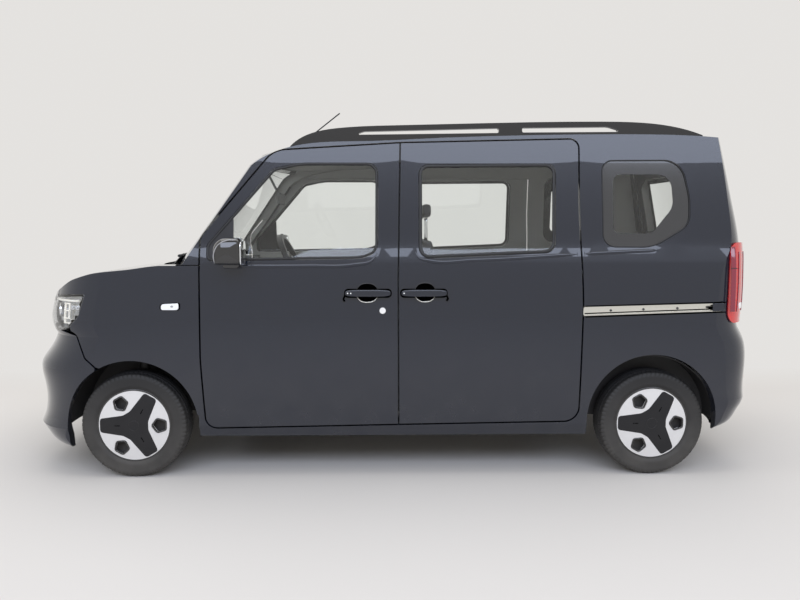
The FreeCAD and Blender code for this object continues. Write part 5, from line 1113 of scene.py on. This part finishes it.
def blow_up(objects):
    """Cloth with pressure and no gravity on all pads at once; no point moves further than the limit."""
    scene = bpy.context.scene
    before = [vertices_of(obj.data) for obj in objects]
    for obj in objects:
        cloth = obj.modifiers.new("blow_up", "CLOTH")
        for key, value in CLOTH_SETTINGS.items():
            setattr(cloth.settings, key, value)
        cloth.settings.effector_weights.gravity = 0.0
        cloth.point_cache.frame_start = 1
        cloth.point_cache.frame_end = CLOTH_FRAMES
    for frame_number in range(1, CLOTH_FRAMES + 1):
        scene.frame_set(frame_number)
    depsgraph = bpy.context.evaluated_depsgraph_get()
    after = [vertices_of(obj.evaluated_get(depsgraph).data) for obj in objects]
    for obj, start, end in zip(objects, before, after):
        obj.modifiers.clear()
        move = end - start
        length = np.linalg.norm(move, axis=1, keepdims=True)
        move *= np.minimum(1.0, SWELL_LIMIT / np.maximum(length, 1e-9))
        obj.data.vertices.foreach_set("co", (start + move).ravel())
        obj.data.update()
    scene.frame_set(1)


def pressed(points, places, axis):
    """How deep seams press each point in: most in the planes at these places along an axis."""
    dent = sum(np.exp(-((points[:, axis] - place) / SEAM_WIDTH) ** 2) for place in places)
    return SEAM_DEPTH * np.clip(dent, 0, 1)


def sew(obj, seams, thin_axis):
    """Presses seams into both faces of a pad, across its thin direction."""
    points = vertices_of(obj.data)
    middle = (points[:, thin_axis].max() + points[:, thin_axis].min()) / 2
    if thin_axis == 0:
        middle = middle + (points[:, 2] - points[:, 2].mean()) * SEAT_LEAN
    dent = sum(pressed(points, places, axis) for axis, places in seams)
    points[:, thin_axis] -= np.sign(points[:, thin_axis] - middle) * dent
    obj.data.vertices.foreach_set("co", points.ravel())
    obj.data.update()


blow_up(pads)
for pad_piece in pads:
    middle_y = vertices_of(pad_piece.data)[:, 1].mean() if pad_piece.name.startswith("front") else 0.0
    for start, (offsets, axis, places, thin_axis) in SEAMS.items():
        if pad_piece.name.startswith(start):
            sew(pad_piece, [(1, [middle_y + offset for offset in offsets]), (axis, places)], thin_axis)
    round_off = pad_piece.modifiers.new("round_off", "SUBSURF")
    round_off.levels = 1
    round_off.render_levels = 1
    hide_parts("seat_backs" if "back" in pad_piece.name or "head" in pad_piece.name else "seat_cushions")

posts = []
for y in (-SEAT_Y - POST_APART, -SEAT_Y + POST_APART, SEAT_Y - POST_APART, SEAT_Y + POST_APART):
    post = resampled([(0.2015, y, 1.180), (0.2015, y, 1.300)], 8, False)
    posts.append(carried(post, ring_section(0.012, 0.012, 2.0, 20), BACKWARDS, False))
piece("head_restraint_posts", stack(posts), "body", "bright_metal", CHROME, replaces=("seat_backs",))


# Stage, light and camera

SURROUND = (0.985, 0.965, 0.94)
SURROUND_LEVEL = 0.79
FLOOR_TONE = 0.70
FLOOR_TINTS = ((0.98, 0.95, 0.91), (1.03, 1.00, 0.96))
FLOOR_RINGS = (0.001, 1.0, 4.0, 12.0, 40.0, 160.0)
BLACK = (0.0, 0.0, 0.0, 1.0)


def stage_floor():
    """A plain pale floor; far out it fades into the light that surrounds it, so that no horizon shows."""
    material, tree, shader = new_material("pale_floor", Emission_Strength=1.0, Roughness=0.45,
                                          Specular_IOR_Level=0.0)
    place = object_place(tree)
    y = add(tree, "ShaderNodeSeparateXYZ", Vector=place).outputs["Y"]
    radius = add(tree, "ShaderNodeVectorMath", operation="LENGTH", Vector=place).outputs["Value"]
    behind = maths(tree, "DIVIDE", maths(tree, "SUBTRACT", y, 1.25), 0.9)
    around = maths(tree, "DIVIDE", maths(tree, "SUBTRACT", radius, 3.2), 5.0)
    away = add(tree, "ShaderNodeClamp", Value=maths(tree, "MAXIMUM", behind, around)).outputs[0]
    low, high = ((*(FLOOR_TONE * c for c in tone), 1.0) for tone in FLOOR_TINTS)
    tone = mixed(tree, noise(tree, place, 0.6, 5.0), low, high)
    glow = (*(SURROUND_LEVEL * c for c in SURROUND), 1.0)
    feed(tree, shader, Base_Color=mixed(tree, away, tone, BLACK),
         Emission_Color=mixed(tree, away, BLACK, glow))
    ring = np.insert(oval(0.0, 0.0, 1.0, 1.0, 96), 2, 0.0, axis=1)
    points, faces = grid([ring * radius for radius in FLOOR_RINGS], wrap_v=True)
    mesh = bpy.data.meshes.new("floor")
    mesh.from_pydata(points.tolist(), [], faces.tolist())
    mesh.materials.append(material)
    floor = placed("floor", mesh)


def soft_light(name, place, target, size, power, color):
    """A rectangular area light that looks at a target."""
    data = bpy.data.lights.new(name, "AREA")
    data.shape = "RECTANGLE"
    data.size, data.size_y = size
    data.energy = power
    data.color = color
    light = placed(name, data)
    light.location = place
    way = np.array(target, float) - np.array(place, float)
    light.rotation_euler = (math.atan2(math.hypot(way[0], way[1]), -way[2]), 0, math.atan2(-way[0], way[1]))


stage_floor()
soft_light("overhead", (0.0, 0.4, 5.2), (0.0, 0.0, 0.0), (7.0, 5.0), 110.0, (1.0, 0.99, 0.97))
soft_light("high_windows", (0.0, -9.0, 6.2), (0.0, 0.0, 1.2), (14.0, 3.6), 620.0, (0.72, 0.80, 1.0))
world = bpy.data.worlds.new("studio")
world.use_nodes = True
background = world.node_tree.nodes["Background"]
background.inputs[0].default_value = (*SURROUND, 1.0)
background.inputs[1].default_value = SURROUND_LEVEL
bpy.context.scene.world = world
bpy.context.scene.view_settings.view_transform = "Standard"

camera_data = bpy.data.cameras.new("camera")
camera_data.lens = 33.75
camera_data.sensor_width = 36.0
camera = placed("camera", camera_data)
camera.location = (-0.0171, -4.4406, 1.2475)
camera.rotation_euler = (math.radians(90 - 5.48), 0.0, math.radians(-1.1))
bpy.context.scene.camera = camera
